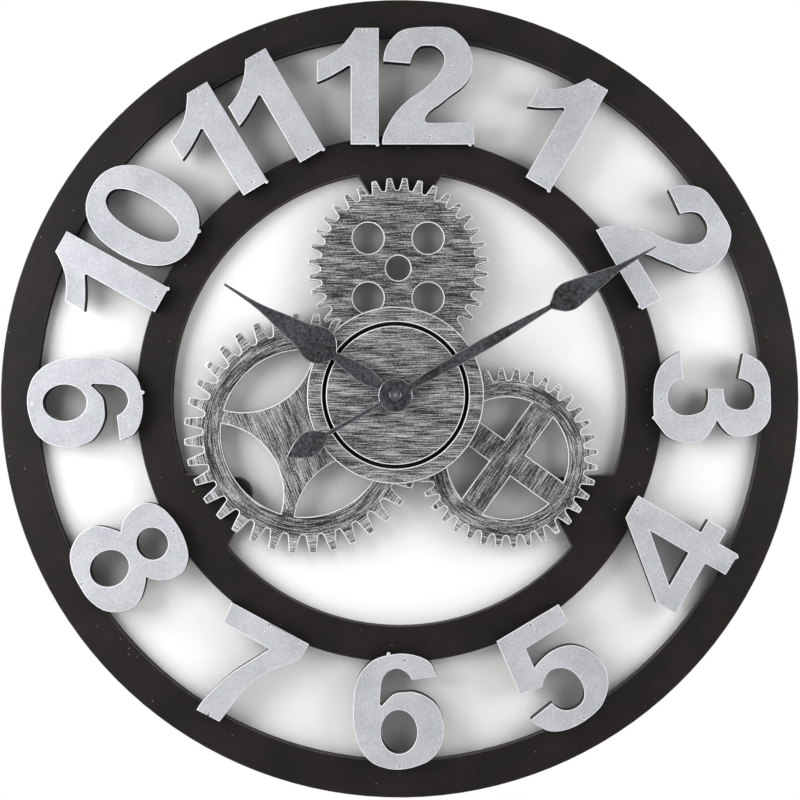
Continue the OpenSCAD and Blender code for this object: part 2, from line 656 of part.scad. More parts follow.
// One digit standing on the rings. The numerals from 4 to 8 have their tops inwards.
module digit(hour, across = 0, along = 0, tilt = 0)
    color(silver_paint) at_rings()
        difference() {
            at_hour(hour) translate([0, numeral_circle_r, ring_t])
                rotate(hour > 3 && hour < 9 ? 180 : 0)
                    translate(percent(across, along))
                        rotate(tilt) linear_extrude(numeral_t) children();
            brad_places() brad_hole();
        }

module numeral_1() digit(1, 10.5, 0.5) one();
module numeral_2() digit(2) two();
module numeral_3() digit(3) three();
module numeral_4() digit(4) four();
module numeral_5() digit(5) five();
module numeral_6() digit(6) six();
module numeral_7() digit(7) seven();
module numeral_8() digit(8, 1.5) eight();
module numeral_9() digit(9) nine();
module numeral_10_tens() digit(10, -29.5, 1, 0.9) one();
module numeral_10_units() digit(10, 26, 1.5) zero();
module numeral_11_tens() digit(11, -18, 0, 1.3) one();
module numeral_11_units() digit(11, 39, 0, 0.3) one();
module numeral_12_tens() digit(12, -30) one();
module numeral_12_units() digit(12, 26) two();

// Brads, each as its hour and how far across the hour's middle line it sits at the outer
// and at the inner ring, in percent of the numeral's width
brad_shares = [[1, 10.5, 10.5], [2, 0, 0], [3, 0, 0], [4, -19, -19], [5, 0, 0], [6, 0, -4],
    [7, 6.5, 0], [8, -1.5, -1.5], [9, -4, -8.5], [10, -30, -29], [10, 26, 26],
    [11, -19, -17], [11, 39, 39], [12, -30, -30], [12, 26, 26]];
brad_circles = [outer_ring_bore_r + outer_brad_inset, inner_ring_r - inner_brad_inset];

module brad_places()
    for (brad = brad_shares)
        for (end = [0, 1])
            at_hour(brad[0])
                translate([brad[1 + end] * numeral_w / 100, brad_circles[end], 0]) children();

module brad_hole() {
    translate([0, 0, ring_t - brad_bite]) cylinder(r = brad_r, h = brad_bite + numeral_t);
    translate([0, 0, numeral_front - brad_head_t]) cylinder(r = brad_head_r, h = brad_head_t + over);
}

module brads()
    color(silver_paint) at_rings() brad_places() {
        translate([0, 0, ring_t - brad_bite])
            cylinder(r = brad_r, h = brad_bite + numeral_t - brad_head_t);
        translate([0, 0, numeral_front - brad_head_t])
            cylinder(r = brad_head_r, h = brad_head_t);
    }

// Rings

module band(r, w, t)
    difference() {
        cylinder(r = r, h = t);
        translate([0, 0, -over]) cylinder(r = r - w, h = t + 2 * over);
    }

module outer_ring()
    color(dark_paint) at_rings()
        difference() {
            band(outer_ring_r, outer_ring_w, ring_t);
            brad_places() brad_hole();
            translate([0, hanger_rise, 0]) hanger_recess();
        }

// A tab's straight sides touch its round tip and end inside the ring's band
tab_tip_y = inner_ring_bore_r - tab_reach + tab_tip_r;
tab_root_y = inner_ring_bore_r + inner_ring_w / 2;
tab_side_rise = tab_root_y - tab_tip_y + tab_tip_r * sin(tab_side_angle);
tab_root_x = tab_tip_r * cos(tab_side_angle) + tab_side_rise * tan(tab_side_angle);

module tab()
    linear_extrude(ring_t)
        polygon(concat([[tab_root_x, tab_root_y], [-tab_root_x, tab_root_y]],
                       arc([0, tab_tip_y], tab_tip_r, 180 + tab_side_angle,
                           360 - tab_side_angle, 12)));

module inner_ring()
    color(dark_paint) at_rings()
        difference() {
            union() {
                band(inner_ring_r, inner_ring_w, ring_t);
                for (hour = [0:4:8]) at_hour(hour) tab();
            }
            brad_places() brad_hole();
            tab_screw_places() wood_screw(ring_t + screw_bite);
        }

// Wood screws, driven in from behind

// Shank and cone-shaped head, the head's back flush with z = 0
module wood_screw(length) {
    cylinder(r1 = screw_head_r, r2 = screw_r, h = screw_head_d);
    cylinder(r = screw_r, h = length);
}

module tab_screw_places()
    for (hour = [0:4:8])
        for (side = [-1, 1])
            at_hour(hour)
                translate([side * tab_screw_spacing / 2, tab_screw_circle_r, 0]) children();

module tab_screws()
    color(zinc) at_rings() tab_screw_places() wood_screw(ring_t + screw_bite);

// Screws that hold the disc, as shares of the disc's radius about the hand shaft
disc_screw_shares = [[0, 0.77], [-0.77, -0.18], [0.73, -0.4]];

module disc_screw_places()
    for (share = disc_screw_shares)
        translate([share[0] * disc_r, share[1] * disc_r, gear_z]) children();

module disc_screws()
    color(zinc) at_shaft() disc_screw_places() wood_screw(gear_t + screw_bite);

// Gears

// A tooth from root to root: how far across it each point lies, as a share of the pitch,
// and how far out, as a share of the tooth's depth
tooth_shares = [[-0.42, 0], [-0.35, 0.07], [-0.165, 0.96], [-0.13, 1],
    [0.13, 1], [0.165, 0.96], [0.35, 0.07], [0.42, 0]];

// Outline of a gear, grown all round by the given amount
function gear_points(tip_r, root_r, turn, grow = 0) =
    let (pitch = 360 / gear_teeth)
    [for (k = [0:gear_teeth - 1])
        for (s = tooth_shares)
            let (r = root_r + s[1] * (tip_r - root_r) + grow,
                 spread = sign(s[0]) * grow / r * 180 / PI)
            polar(r, turn + (k + s[0]) * pitch + spread)];

module top_gear_shape(grow = 0)
    translate(polar(top_gear_dist, top_gear_angle))
        polygon(gear_points(top_gear_tip_r, top_gear_root_r, top_gear_turn, grow));

module left_gear_shape(grow = 0)
    translate(polar(left_gear_dist, left_gear_angle))
        polygon(gear_points(left_gear_tip_r, left_gear_root_r, left_gear_turn, grow));

module right_gear_shape()
    translate(polar(right_gear_dist, right_gear_angle))
        polygon(gear_points(right_gear_tip_r, right_gear_root_r, right_gear_turn));

// The square window that the movement stands in
module movement_window()
    square(window_w, center = true);

// A gear cut from board, with its screw holes
module gear_board()
    color(silver_paint) at_shaft()
        difference() {
            translate([0, 0, gear_z]) linear_extrude(gear_t) children();
            translate([shaft_left, -shaft_up, 0])
                tab_screw_places() wood_screw(ring_t + screw_bite);
            disc_screw_places() wood_screw(gear_t + screw_bite);
        }

module top_gear()
    gear_board()
        difference() {
            top_gear_shape();
            translate(polar(top_gear_dist, top_gear_angle)) {
                circle(top_gear_bore_r);
                for (a = [45:90:315])
                    translate(polar(top_gear_hole_circle_r, a)) circle(top_gear_hole_r);
            }
            movement_window();
        }

// A lens window is where the circle inside the rim meets a circle that bulges inwards
module lens_window()
    intersection() {
        circle(left_gear_root_r - left_gear_rim_w);
        translate([left_gear_hub_r + left_gear_lens_r, 0]) circle(left_gear_lens_r);
    }

// Well behind the disc the left gear ends at the tips of the top gear's teeth
module hidden_notch()
    intersection() {
        circle(groove_r + groove_w);
        translate(polar(top_gear_dist, top_gear_angle)) circle(top_gear_tip_r + gear_seam);
    }

module left_gear()
    gear_board()
        difference() {
            left_gear_shape();
            translate(polar(left_gear_dist, left_gear_angle))
                for (k = [0:3]) rotate(left_gear_lens_turn + 90 * k) lens_window();
            top_gear_shape(gear_seam);
            hidden_notch();
            movement_window();
        }

module cross_windows()
    intersection() {
        circle(right_gear_root_r - right_gear_rim_w);
        for (k = [0:3])
            rotate(right_gear_arm_turn + 90 * k)
                translate([right_gear_arm_w, right_gear_arm_w] / 2) square(right_gear_root_r);
    }

module right_gear()
    gear_board()
        difference() {
            right_gear_shape();
            translate(polar(right_gear_dist, right_gear_angle)) cross_windows();
            left_gear_shape(gear_seam);
            movement_window();
        }

// Centre disc

module centre_disc()
    color(silver_paint) at_shaft()
        difference() {
            translate([0, 0, disc_z]) cylinder(r = disc_r, h = disc_t);
            translate([0, 0, disc_front - groove_d]) band(groove_r + groove_w, groove_w, groove_d + over);
            cylinder(r = bushing_r + bushing_gap, h = disc_front + over);
            translate([0, 0, disc_z - over])
                linear_extrude(disc_pocket_d + over) movement_window();
            disc_screw_places() wood_screw(gear_t + screw_bite);
        }

// Keyhole hanger

module keyhole()
    translate([0, 0, -over]) {
        cylinder(r = keyhole_r, h = plate_t + 2 * over);
        translate([-slot_w / 2, 0, 0]) cube([slot_w, slot_rise, plate_t + 2 * over]);
        translate([0, slot_rise, 0]) cylinder(r = slot_w / 2, h = plate_t + 2 * over);
    }

// How much wider than the keyhole the pocket for the screw's head is
pocket_grow = 1;

module hanger_recess() {
    translate([-plate_w / 2, plate_rise - plate_h / 2, -over]) cube([plate_w, plate_h, plate_t + over]);
    translate([0, 0, -over]) {
        cylinder(r = keyhole_r + pocket_grow, h = hanger_pocket_d + over);
        translate([-keyhole_r - pocket_grow, 0, 0])
            cube([2 * (keyhole_r + pocket_grow), slot_rise, hanger_pocket_d + over]);
        translate([0, slot_rise, 0]) cylinder(r = keyhole_r + pocket_grow, h = hanger_pocket_d + over);
    }
    hanger_screw_places() wood_screw(plate_t + screw_bite);
}

module hanger_screw_places()
    for (side = [-1, 1])
        translate([side * plate_screw_spacing / 2, plate_rise, 0]) children();

module hanger_plate()
    color(steel) at_rings() translate([0, hanger_rise, 0])
        difference() {
            translate([-plate_w / 2, plate_rise - plate_h / 2, 0]) cube([plate_w, plate_h, plate_t]);
            keyhole();
            hanger_screw_places() wood_screw(plate_t + screw_bite);
        }

module hanger_screws()
    color(zinc) at_rings() translate([0, hanger_rise, 0])
        hanger_screw_places() wood_screw(plate_t + screw_bite);

// Hands

hour_hand_z = case_front + bushing_reach + hour_hand_gap;
minute_hand_z = hour_hand_z + hand_t + hands_gap;
hour_pipe_end = hour_hand_z + hand_t + hands_gap / 3;
hand_nut_z = minute_hand_z + hand_t;
minute_pipe_end = hand_nut_z + hand_nut_t / 2;
shaft_end = minute_pipe_end;

// Half of each hand's outline, as shares of its reach and of half its spade's width
minute_half_shares = [[0.05, 0.25, 0], [0.2, 0.38, 1], [0.3, 0.43, 1], [0.4, 0.4, 1],
    [0.5, 0.29, 1], [0.595, 0.17, 0], [0.61, 0.45, 1], [0.633, 0.83, 1], [0.665, 1, 1],
    [0.705, 0.88, 1], [0.75, 0.69, 1], [0.8, 0.48, 1], [0.855, 0.24, 1], [0.885, 0.19, 1],
    [0.94, 0.12, 0], [1, 0.05, 0]];
tail_half_shares = [[0.1, 0.19, 0], [0.62, 0.16, 0], [0.64, 0.3, 1], [0.71, 0.82, 1],
    [0.79, 1, 1], [0.87, 0.8, 1], [0.95, 0.35, 1], [1, 0, 0]];
hour_half_shares = [[0.05, 0.24, 0], [0.1, 0.28, 1], [0.17, 0.46, 1], [0.25, 0.39, 1],
    [0.3, 0.32, 1], [0.355, 0.21, 0], [0.365, 0.4, 1], [0.395, 0.8, 1], [0.445, 1, 1],
    [0.49, 0.92, 1], [0.54, 0.7, 1], [0.6, 0.57, 1], [0.68, 0.41, 1], [0.74, 0.27, 1],
    [0.81, 0.16, 1], [0.9, 0.1, 0], [1, 0.06, 0]];

function hand_outline(half, reach, w) =
    let (upper = [for (s = half) [s[0] * reach, s[1] * w / 2, s[2]]],
         lower = [for (i = [len(half) - 1:-1:0]) [half[i][0] * reach, -half[i][1] * w / 2, half[i][2]]])
    outline(concat(lower, upper));

module hand_boss(bore_r)
    difference() {
        children();
        translate([0, 0, -over]) cylinder(r = bore_r, h = hand_t + 2 * over);
    }

module hour_hand()
    color(graphite) at_shaft() translate([0, 0, hour_hand_z]) rotate(hour_angle)
        hand_boss(hour_pipe_r + hand_gap)
            union() {
                cylinder(r = hand_boss_r, h = hand_t);
                linear_extrude(hand_t) polygon(hand_outline(hour_half_shares, hour_reach, hour_spade_w));
            }

module minute_hand()
    color(graphite) at_shaft() translate([0, 0, minute_hand_z]) rotate(minute_angle)
        hand_boss(minute_pipe_r + hand_gap)
            union() {
                cylinder(r = hand_boss_r, h = hand_t);
                linear_extrude(hand_t)
                    polygon(hand_outline(minute_half_shares, minute_reach, minute_spade_w));
                rotate(180) linear_extrude(hand_t)
                    polygon(hand_outline(tail_half_shares, tail_reach, tail_leaf_w));
            }

module hand_nut()
    color(graphite) at_shaft() translate([0, 0, hand_nut_z])
        difference() {
            cylinder(r = hand_nut_r, h = hand_nut_t);
            translate([0, 0, -over]) cylinder(r = minute_pipe_r + hand_gap, h = hand_nut_t + 2 * over);
            translate([0, 0, hand_nut_t / 2]) cylinder(r = hand_nut_recess_r, h = hand_nut_t);
        }

// Movement case

front_inside = case_front - front_t;
cover_inside = case_stand + cover_t;
battery_z = front_inside - battery_gap - battery_r;
battery_y = battery_gap + battery_r - inside_half;
bay_top = battery_y + battery_r + battery_gap;
bushing_end = case_front + bushing_reach;
nut_z = disc_front + washer_t;

third_at = polar(third_dist, third_angle);
middle_at = polar(middle_dist, middle_angle);
rotor_at = middle_at + polar(rotor_dist, rotor_angle);
motion_at = polar(motion_dist, motion_angle);
setting_at = motion_at + polar(setting_dist, setting_angle);

coil_at = rotor_at + [0, coil_rise];

// Left and right edge of the bridge, as shares of half the case's width
bridge_side_shares = [-0.73, 0.8];
// Lower left and upper right corner of the bridge
bridge_low = [bridge_side_shares[0] * case_half, bay_top + bay_wall_t + bridge_bay_gap];
bridge_high = [bridge_side_shares[1] * case_half, coil_at[1] - board_h / 2 - bridge_board_gap];
// Places of the bridge's pillars: across as a share of half the case's width, and up as a
// share of the bridge's height
pillar_shares = [[-0.66, 0.083], [-0.52, 0.917], [0.73, 0.0625], [0.49, 0.677]];

module rod(r, from, to)
    translate([0, 0, from]) cylinder(r = r, h = to - from);

module bar(low, high)
    translate(low) cube(high - low);

module at_spots(spots)
    for (spot = spots) translate(spot) children();

pillars = [for (share = pillar_shares)
    [share[0] * case_half, bridge_low[1] + share[1] * (bridge_high[1] - bridge_low[1])]];
corner_posts = [for (side = [-1, 1]) [side, 1] * (inside_half - corner_post_w / 2)];
stator_posts = [for (side = [-1, 1]) rotor_at + [side * stator_span / 2, 0]];

// A bearing post reaches down from the case's front to the given height
module bearing_post(at, from)
    translate(at)
        difference() {
            rod(post_r, from, front_inside);
            rod(arbor_r + arbor_gap, from - over, from + pivot_depth + arbor_gap);
        }

module front_case()
    color(case_black) at_shaft() {
        difference() {
            translate([0, 0, case_stand])
                linear_extrude(case_d) polygon(round_box(case_w, case_w, case_corner_r));
            translate([0, 0, case_stand - over])
                linear_extrude(front_inside - case_stand + over) square(2 * inside_half, center = true);
            rod(bushing_r + bushing_fit, front_inside - over, case_front + over);
        }
        // Wall between the battery's bay and the train, with a slot at each end for a contact
        bar([contact_t + strip_gap - inside_half, bay_top, cover_inside],
            [inside_half - contact_t - strip_gap, bay_top + bay_wall_t, front_inside]);
        at_spots(pillars) {
            rod(pillar_r, bridge_front, front_inside);
            rod(pillar_pin_r, bridge_z - pillar_pin_past, bridge_front);
        }
        at_spots(stator_posts) rod(stator_post_r, stator_z + stator_t, front_inside);
        difference() {
            at_spots(corner_posts)
                bar([-corner_post_w / 2, -corner_post_w / 2, cover_inside],
                    [corner_post_w / 2, corner_post_w / 2, front_inside]);
            cover_screw_places() cover_screw();
        }
        bearing_post(third_at, third_post_z);
        bearing_post(middle_at, middle_post_z);
        bearing_post(rotor_at, rotor_post_z);
        bearing_post(motion_at, motion_post_z);
        bearing_post(setting_at, setting_post_z);
    }

module cover_screw_places()
    at_spots(corner_posts) translate([0, 0, case_stand]) children();

module cover_screw() {
    cylinder(r1 = cover_screw_head_r, r2 = cover_screw_r, h = cover_t);
    cylinder(r = cover_screw_r, h = cover_t + cover_screw_bite);
}

module cover_screws()
    color(zinc) at_shaft() cover_screw_places() cover_screw();

module rear_cover()
    color(case_black) at_shaft()
        difference() {
            bar([cover_play - inside_half, bay_top, case_stand],
                [inside_half - cover_play, inside_half - cover_play, cover_inside]);
            translate(setting_at) rod(knob_r + knob_gap, case_stand - over, cover_inside + over);
            cover_screw_places() cover_screw();
        }

module threaded_bushing()
    color(brass) at_shaft()
        difference() {
            union() {
                rod(bushing_flange_r, front_inside - bushing_flange_t, front_inside);
                rod(bushing_r, front_inside - bushing_flange_t, bushing_end);
            }
            rod(hour_pipe_r + running_gap, front_inside - bushing_flange_t - over, bushing_end + over);
        }

module gasket()
    color(rubber) at_shaft()
        difference() {
            translate([0, 0, case_front])
                linear_extrude(gasket_t) square(gasket_w, center = true);
            rod(bushing_r + bushing_gap, case_front - over, case_front + gasket_t + over);
        }

module washer()
    color(brass) at_shaft()
        difference() {
            rod(washer_r, disc_front, nut_z);
            rod(bushing_r + bushing_fit, disc_front - over, nut_z + over);
        }

module hex_nut()
    color(brass) at_shaft()
        difference() {
            translate([0, 0, nut_z]) cylinder(r = nut_flats / 2 / cos(30), h = nut_t, $fn = 6);
            rod(bushing_r + bushing_fit, nut_z - over, nut_z + nut_t + over);
        }

// Train. A wheel of level k turns on the same arbor as the pinion of level k + 1.

bridge_z = case_stand + bridge_stand;
bridge_front = bridge_z + bridge_t;
train_z = bridge_front + bridge_clear;

rotor_leaves = 8;
middle_teeth = 40;
middle_leaves = 8;
seconds_teeth = 48;
seconds_leaves = 8;
third_teeth = 60;
third_leaves = 8;
centre_teeth = 64;
cannon_leaves = 12;
motion_teeth = 36;
motion_leaves = 10;
hour_teeth = 40;
setting_leaves = 12;

// Size of the teeth of two meshing wheels: pitch diameter over teeth
function tooth_size(dist, teeth_a, teeth_b) = 2 * dist / (teeth_a + teeth_b);
rotor_size = tooth_size(rotor_dist, rotor_leaves, middle_teeth);
middle_size = tooth_size(middle_dist, middle_leaves, seconds_teeth);
seconds_size = tooth_size(third_dist, seconds_leaves, third_teeth);
third_size = tooth_size(third_dist, third_leaves, centre_teeth);
cannon_size = tooth_size(motion_dist, cannon_leaves, motion_teeth);
hour_size = tooth_size(motion_dist, motion_leaves, hour_teeth);
setting_size = tooth_size(setting_dist, setting_leaves, motion_teeth);

// Turn of wheel b that puts its gaps over the teeth of wheel a, b lying that way from a
function mesh_turn(turn_a, teeth_a, teeth_b, direction) =
    direction + 180 - 360 / teeth_b * ((turn_a - direction) * teeth_a / 360 + 1 / 2);
rotor_turn = mesh_turn(0, middle_teeth, rotor_leaves, rotor_angle);
middle_pinion_turn = mesh_turn(0, seconds_teeth, middle_leaves, middle_angle);
third_turn = mesh_turn(0, seconds_leaves, third_teeth, third_angle);
third_pinion_turn = mesh_turn(0, centre_teeth, third_leaves, third_angle);
motion_turn = mesh_turn(0, cannon_leaves, motion_teeth, motion_angle);
motion_pinion_turn = mesh_turn(0, hour_teeth, motion_leaves, motion_angle);
setting_turn = mesh_turn(motion_turn, motion_teeth, setting_leaves, setting_angle);

// Half of a tooth from its root to its tip: half its thickness and its height over the
// pitch circle, as shares of the tooth size
wheel_tooth_shares = [[0.64, -1.45], [0.72, 0], [0.56, 0.5], [0.2, 1.1]];
leaf_shares = [[0.33, -1.75], [0.55, 0], [0.44, 0.32], [0.14, 0.6]];

function tooth_spot(size, pitch_r, middle, side, share) =
    let (r = pitch_r + share[1] * size)
    polar(r, middle + side * share[0] * size / r * 180 / PI);
function train_points(teeth, size, turn, shares) =
    let (pitch_r = teeth * size / 2, last = len(shares) - 1)
    [for (k = [0:teeth - 1]) let (middle = turn + k * 360 / teeth) each concat(
        [for (i = [0:last]) tooth_spot(size, pitch_r, middle, -1, shares[i])],
        [for (i = [last:-1:0]) tooth_spot(size, pitch_r, middle, 1, shares[i])])];

function level(k) = train_z + k * level_step;
function level_top(k) = level(k) + wheel_t + pinion_past;
// Height at which the post over the pinion of level k ends
function post_end(k) = level_top(k) + post_clear;
third_post_z = post_end(3);
middle_post_z = post_end(1);
motion_post_z = post_end(5);
setting_post_z = post_end(4);
magnet_z = level_top(0) + magnet_rise;
rotor_post_z = magnet_z + magnet_t + post_clear;

module wheel(k, teeth, size, turn)
    translate([0, 0, level(k)])
        linear_extrude(wheel_t) polygon(train_points(teeth, size, turn, wheel_tooth_shares));

// A pinion reaches from the wheel below it to just past the wheel that it drives
module pinion(k, teeth, size, turn)
    translate([0, 0, level(k - 1) + wheel_t])
        linear_extrude(level_step + pinion_past)
            polygon(train_points(teeth, size, turn, leaf_shares));

// An arbor runs from inside the bridge into its bearing post
module arbor(post_z)
    rod(arbor_r, bridge_z + arbor_gap, post_z + pivot_depth);

module rotor()
    color(cream_plastic) at_shaft() translate(rotor_at) {
        translate([0, 0, level(0) - pinion_past])
            linear_extrude(wheel_t + 2 * pinion_past)
                polygon(train_points(rotor_leaves, rotor_size, rotor_turn, leaf_shares));
        rod(rotor_hub_r, level_top(0), magnet_z);
        arbor(rotor_post_z);
    }

module rotor_magnet()
    color(magnet_grey) at_shaft() translate(rotor_at)
        difference() {
            rod(magnet_r, magnet_z, magnet_z + magnet_t);
            rod(arbor_r + hand_gap, magnet_z - over, magnet_z + magnet_t + over);
        }

module intermediate_wheel()
    color(white_plastic) at_shaft() translate(middle_at) {
        wheel(0, middle_teeth, rotor_size, 0);
        pinion(1, middle_leaves, middle_size, middle_pinion_turn);
        arbor(middle_post_z);
    }

module seconds_wheel()
    color(cream_plastic) at_shaft() {
        wheel(1, seconds_teeth, middle_size, 0);
        pinion(2, seconds_leaves, seconds_size, 0);
        rod(shaft_r, bridge_z + arbor_gap, shaft_end);
    }

module third_wheel()
    color(white_plastic) at_shaft() translate(third_at) {
        wheel(2, third_teeth, seconds_size, third_turn);
        pinion(3, third_leaves, third_size, third_pinion_turn);
        arbor(third_post_z);
    }

module centre_wheel()
    color(cream_plastic) at_shaft()
        difference() {
            wheel(3, centre_teeth, third_size, 0);
            rod(minute_pipe_r + hand_gap, level(3) - over, level(3) + wheel_t + over);
        }

// The minute pipe is the cannon pinion's, and the centre wheel grips its rear end
module cannon_pinion()
    color(zinc) at_shaft()
        difference() {
            union() {
                pinion(4, cannon_leaves, cannon_size, 0);
                rod(minute_pipe_r, level(3), minute_pipe_end);
            }
            rod(shaft_r + running_gap, level(3) - over, minute_pipe_end + over);
        }

module motion_wheel()
    color(white_plastic) at_shaft() translate(motion_at) {
        wheel(4, motion_teeth, cannon_size, motion_turn);
        pinion(5, motion_leaves, hour_size, motion_pinion_turn);
        arbor(motion_post_z);
    }

module hour_wheel()
    color(cream_plastic) at_shaft()
        difference() {
            union() {
                wheel(5, hour_teeth, hour_size, 0);
                rod(hour_pipe_r, level(5), hour_pipe_end);
            }
            rod(minute_pipe_r + running_gap, level(5) - over, hour_pipe_end + over);
        }

module setting_knob()
    color(white_plastic) at_shaft() translate(setting_at) {
        rod(knob_r, knob_z, knob_z + knob_t);
        rod(stem_r, knob_z, level_top(4));
        pinion(4, setting_leaves, setting_size, setting_turn);
        rod(arbor_r, knob_z, setting_post_z + pivot_depth);
    }

module train_bridge()
    color(white_plastic) at_shaft()
        difference() {
            bar([each bridge_low, bridge_z], [each bridge_high, bridge_front]);
            at_spots([third_at, middle_at, rotor_at, motion_at])
                rod(arbor_r + arbor_gap, bridge_z - over, bridge_front + over);
            rod(shaft_r + arbor_gap, bridge_z - over, bridge_front + over);
            translate(setting_at) rod(stem_r + arbor_gap, bridge_z - over, bridge_front + over);
            at_spots(pillars) rod(pillar_pin_r + arbor_gap, bridge_z - over, bridge_front + over);
        }

// Motor

stator_z = magnet_z + (magnet_t - stator_t) / 2;
core_z = stator_z + stator_t;
coil_z = core_z + stator_t / 2;
stator_hole_r = magnet_r + air_gap;

// Rim round the rotor's hole, cut flat beside the winding
module rotor_eye()
    intersection() {
        circle(stator_hole_r + stator_rim_w);
        translate([-stator_span / 2, -stator_span / 2])
            square([stator_span, stator_span / 2 + coil_rise - winding_r - winding_gap]);
    }

module stator()
    color(steel) at_shaft() translate([rotor_at[0], rotor_at[1], stator_z])
        linear_extrude(stator_t)
            difference() {
                union() {
                    square([stator_span + stator_w, stator_w], center = true);
                    rotor_eye();
                    for (side = [-1, 1])
                        translate([side * stator_span / 2, coil_rise / 2])
                            square([stator_w, coil_rise + stator_w], center = true);
                }
                circle(stator_hole_r);
            }

module coil_core()
    color(steel) at_shaft() translate([coil_at[0], coil_at[1], core_z])
        linear_extrude(stator_t) square([stator_span + stator_w, stator_w - core_step], center = true);

// The coil's pieces are drawn along z and laid along x
module along_coil()
    color(white_plastic) at_shaft() translate([coil_at[0], coil_at[1], coil_z])
        rotate([0, 90, 0]) children();

// The square hole through the bobbin fits over the core
module core_hole(length)
    cube([stator_t + 2 * core_gap, stator_w - core_step + 2 * core_gap, length], center = true);

bobbin_len = winding_len + 2 * flange_t;

module coil_bobbin()
    along_coil() {
        difference() {
            union() {
                cylinder(r = bobbin_tube_r, h = bobbin_len, center = true);
                for (side = [-1, 1])
                    translate([0, 0, side * (winding_len + flange_t) / 2])
                        cylinder(r = bobbin_r, h = flange_t, center = true);
            }
            core_hole(bobbin_len + 2 * over);
        }
        // Pins from the flanges to the circuit board
        for (side = [-1, 1])
            translate([0, 0, side * (winding_len + flange_t) / 2])
                rotate([0, 90, 0])
                    rod(bobbin_pin_r, bobbin_tube_r, coil_z - board_front);
    }

module coil_winding()
    color(copper) at_shaft() translate([coil_at[0], coil_at[1], coil_z])
        rotate([0, 90, 0])
            difference() {
                cylinder(r = winding_r, h = winding_len, center = true);
                cylinder(r = bobbin_tube_r, h = winding_len + 2 * over, center = true);
            }

// Circuit board, between the two contact strips and behind the coil

board_z = bridge_z;
board_front = board_z + board_t;

module circuit_board()
    color(board_green) at_shaft() {
        bar([-strip_inside, coil_at[1] - board_h / 2, board_z],
            [strip_inside, coil_at[1] + board_h / 2, board_front]);
        // Blob of resin over the chip
        translate([chip_x_share * case_half, coil_at[1], 0])
            rod(chip_r, board_front, board_front + chip_t);
    }

module crystal()
    color(steel) at_shaft()
        translate([crystal_x_share * case_half, coil_at[1], board_front + crystal_r])
            rotate([90, 0, 0]) cylinder(r = crystal_r, h = crystal_len, center = true);

// Battery and contacts

module battery()
    color(battery_wrap) at_shaft() translate([0, battery_y, battery_z])
        rotate([0, 90, 0]) {
            rod(battery_r, -battery_whole / 2, battery_whole / 2 - battery_tip_len);
            rod(battery_tip_r, -battery_whole / 2, battery_whole / 2);
        }

// A strip along the case's side wall, with a dome that presses on the battery's end
module contact(side)
    color(zinc) at_shaft() mirror([side < 0 ? 1 : 0, 0, 0]) {
        bar([strip_inside, battery_y - contact_dome_r - contact_t, board_z],
            [inside_half, coil_at[1] + board_h / 2, board_z + contact_w]);
        translate([strip_inside - contact_dome_h, battery_y, battery_z])
            rotate([0, 90, 0]) cylinder(r1 = contact_dome_r / 2, r2 = contact_dome_r, h = contact_dome_h);
    }

module positive_contact() contact(1);
module negative_contact() contact(-1);

outer_ring();
inner_ring();
numeral_1();
numeral_2();
numeral_3();
numeral_4();
numeral_5();
numeral_6();
numeral_7();
numeral_8();
numeral_9();
numeral_10_tens();
numeral_10_units();
numeral_11_tens();
numeral_11_units();
numeral_12_tens();
numeral_12_units();
brads();
top_gear();
left_gear();
right_gear();
centre_disc();
tab_screws();
disc_screws();
hanger_plate();
hanger_screws();
front_case();
rear_cover();
cover_screws();
threaded_bushing();
gasket();
washer();
hex_nut();
train_bridge();
hour_hand();
hour_wheel();
minute_hand();
hand_nut();
cannon_pinion();
centre_wheel();
motion_wheel();
setting_knob();
third_wheel();
seconds_wheel();
intermediate_wheel();
rotor();
rotor_magnet();
stator();
coil_core();
coil_bobbin();
coil_winding();
circuit_board();
crystal();
battery();
positive_contact();
negative_contact();
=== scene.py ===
# %% [markdown]
# # A steampunk wall clock, dressed in Blender
#
# The clock is cut from painted board: two dark rings held apart by silver numerals, three gear
# shapes on the inner ring's tabs, a turned disc at the hub, and two thin metal hands. The solids
# come from the CAD model. This lesson gives them their paint, their worn edges and their light.

# %% Load the frame
import json
import math

import bmesh
import bpy
import numpy as np
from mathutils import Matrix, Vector

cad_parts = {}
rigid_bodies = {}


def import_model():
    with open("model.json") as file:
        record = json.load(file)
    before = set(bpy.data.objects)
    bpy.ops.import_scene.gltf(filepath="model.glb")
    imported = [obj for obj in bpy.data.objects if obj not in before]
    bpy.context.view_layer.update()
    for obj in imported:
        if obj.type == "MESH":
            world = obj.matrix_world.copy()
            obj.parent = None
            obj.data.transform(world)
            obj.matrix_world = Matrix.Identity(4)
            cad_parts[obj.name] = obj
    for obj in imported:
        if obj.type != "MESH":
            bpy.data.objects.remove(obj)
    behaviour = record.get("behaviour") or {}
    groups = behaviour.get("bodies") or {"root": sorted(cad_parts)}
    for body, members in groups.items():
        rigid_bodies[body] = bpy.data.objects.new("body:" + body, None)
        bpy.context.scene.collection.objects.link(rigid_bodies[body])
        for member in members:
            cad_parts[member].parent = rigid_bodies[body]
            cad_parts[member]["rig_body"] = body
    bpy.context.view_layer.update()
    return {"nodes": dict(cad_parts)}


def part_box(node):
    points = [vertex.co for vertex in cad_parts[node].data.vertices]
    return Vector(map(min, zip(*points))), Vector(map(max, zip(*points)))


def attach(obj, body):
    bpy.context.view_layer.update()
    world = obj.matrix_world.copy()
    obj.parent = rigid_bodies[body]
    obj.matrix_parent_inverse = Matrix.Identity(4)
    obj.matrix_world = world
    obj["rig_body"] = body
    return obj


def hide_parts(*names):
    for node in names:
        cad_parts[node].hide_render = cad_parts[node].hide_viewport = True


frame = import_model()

cad = frame["nodes"]

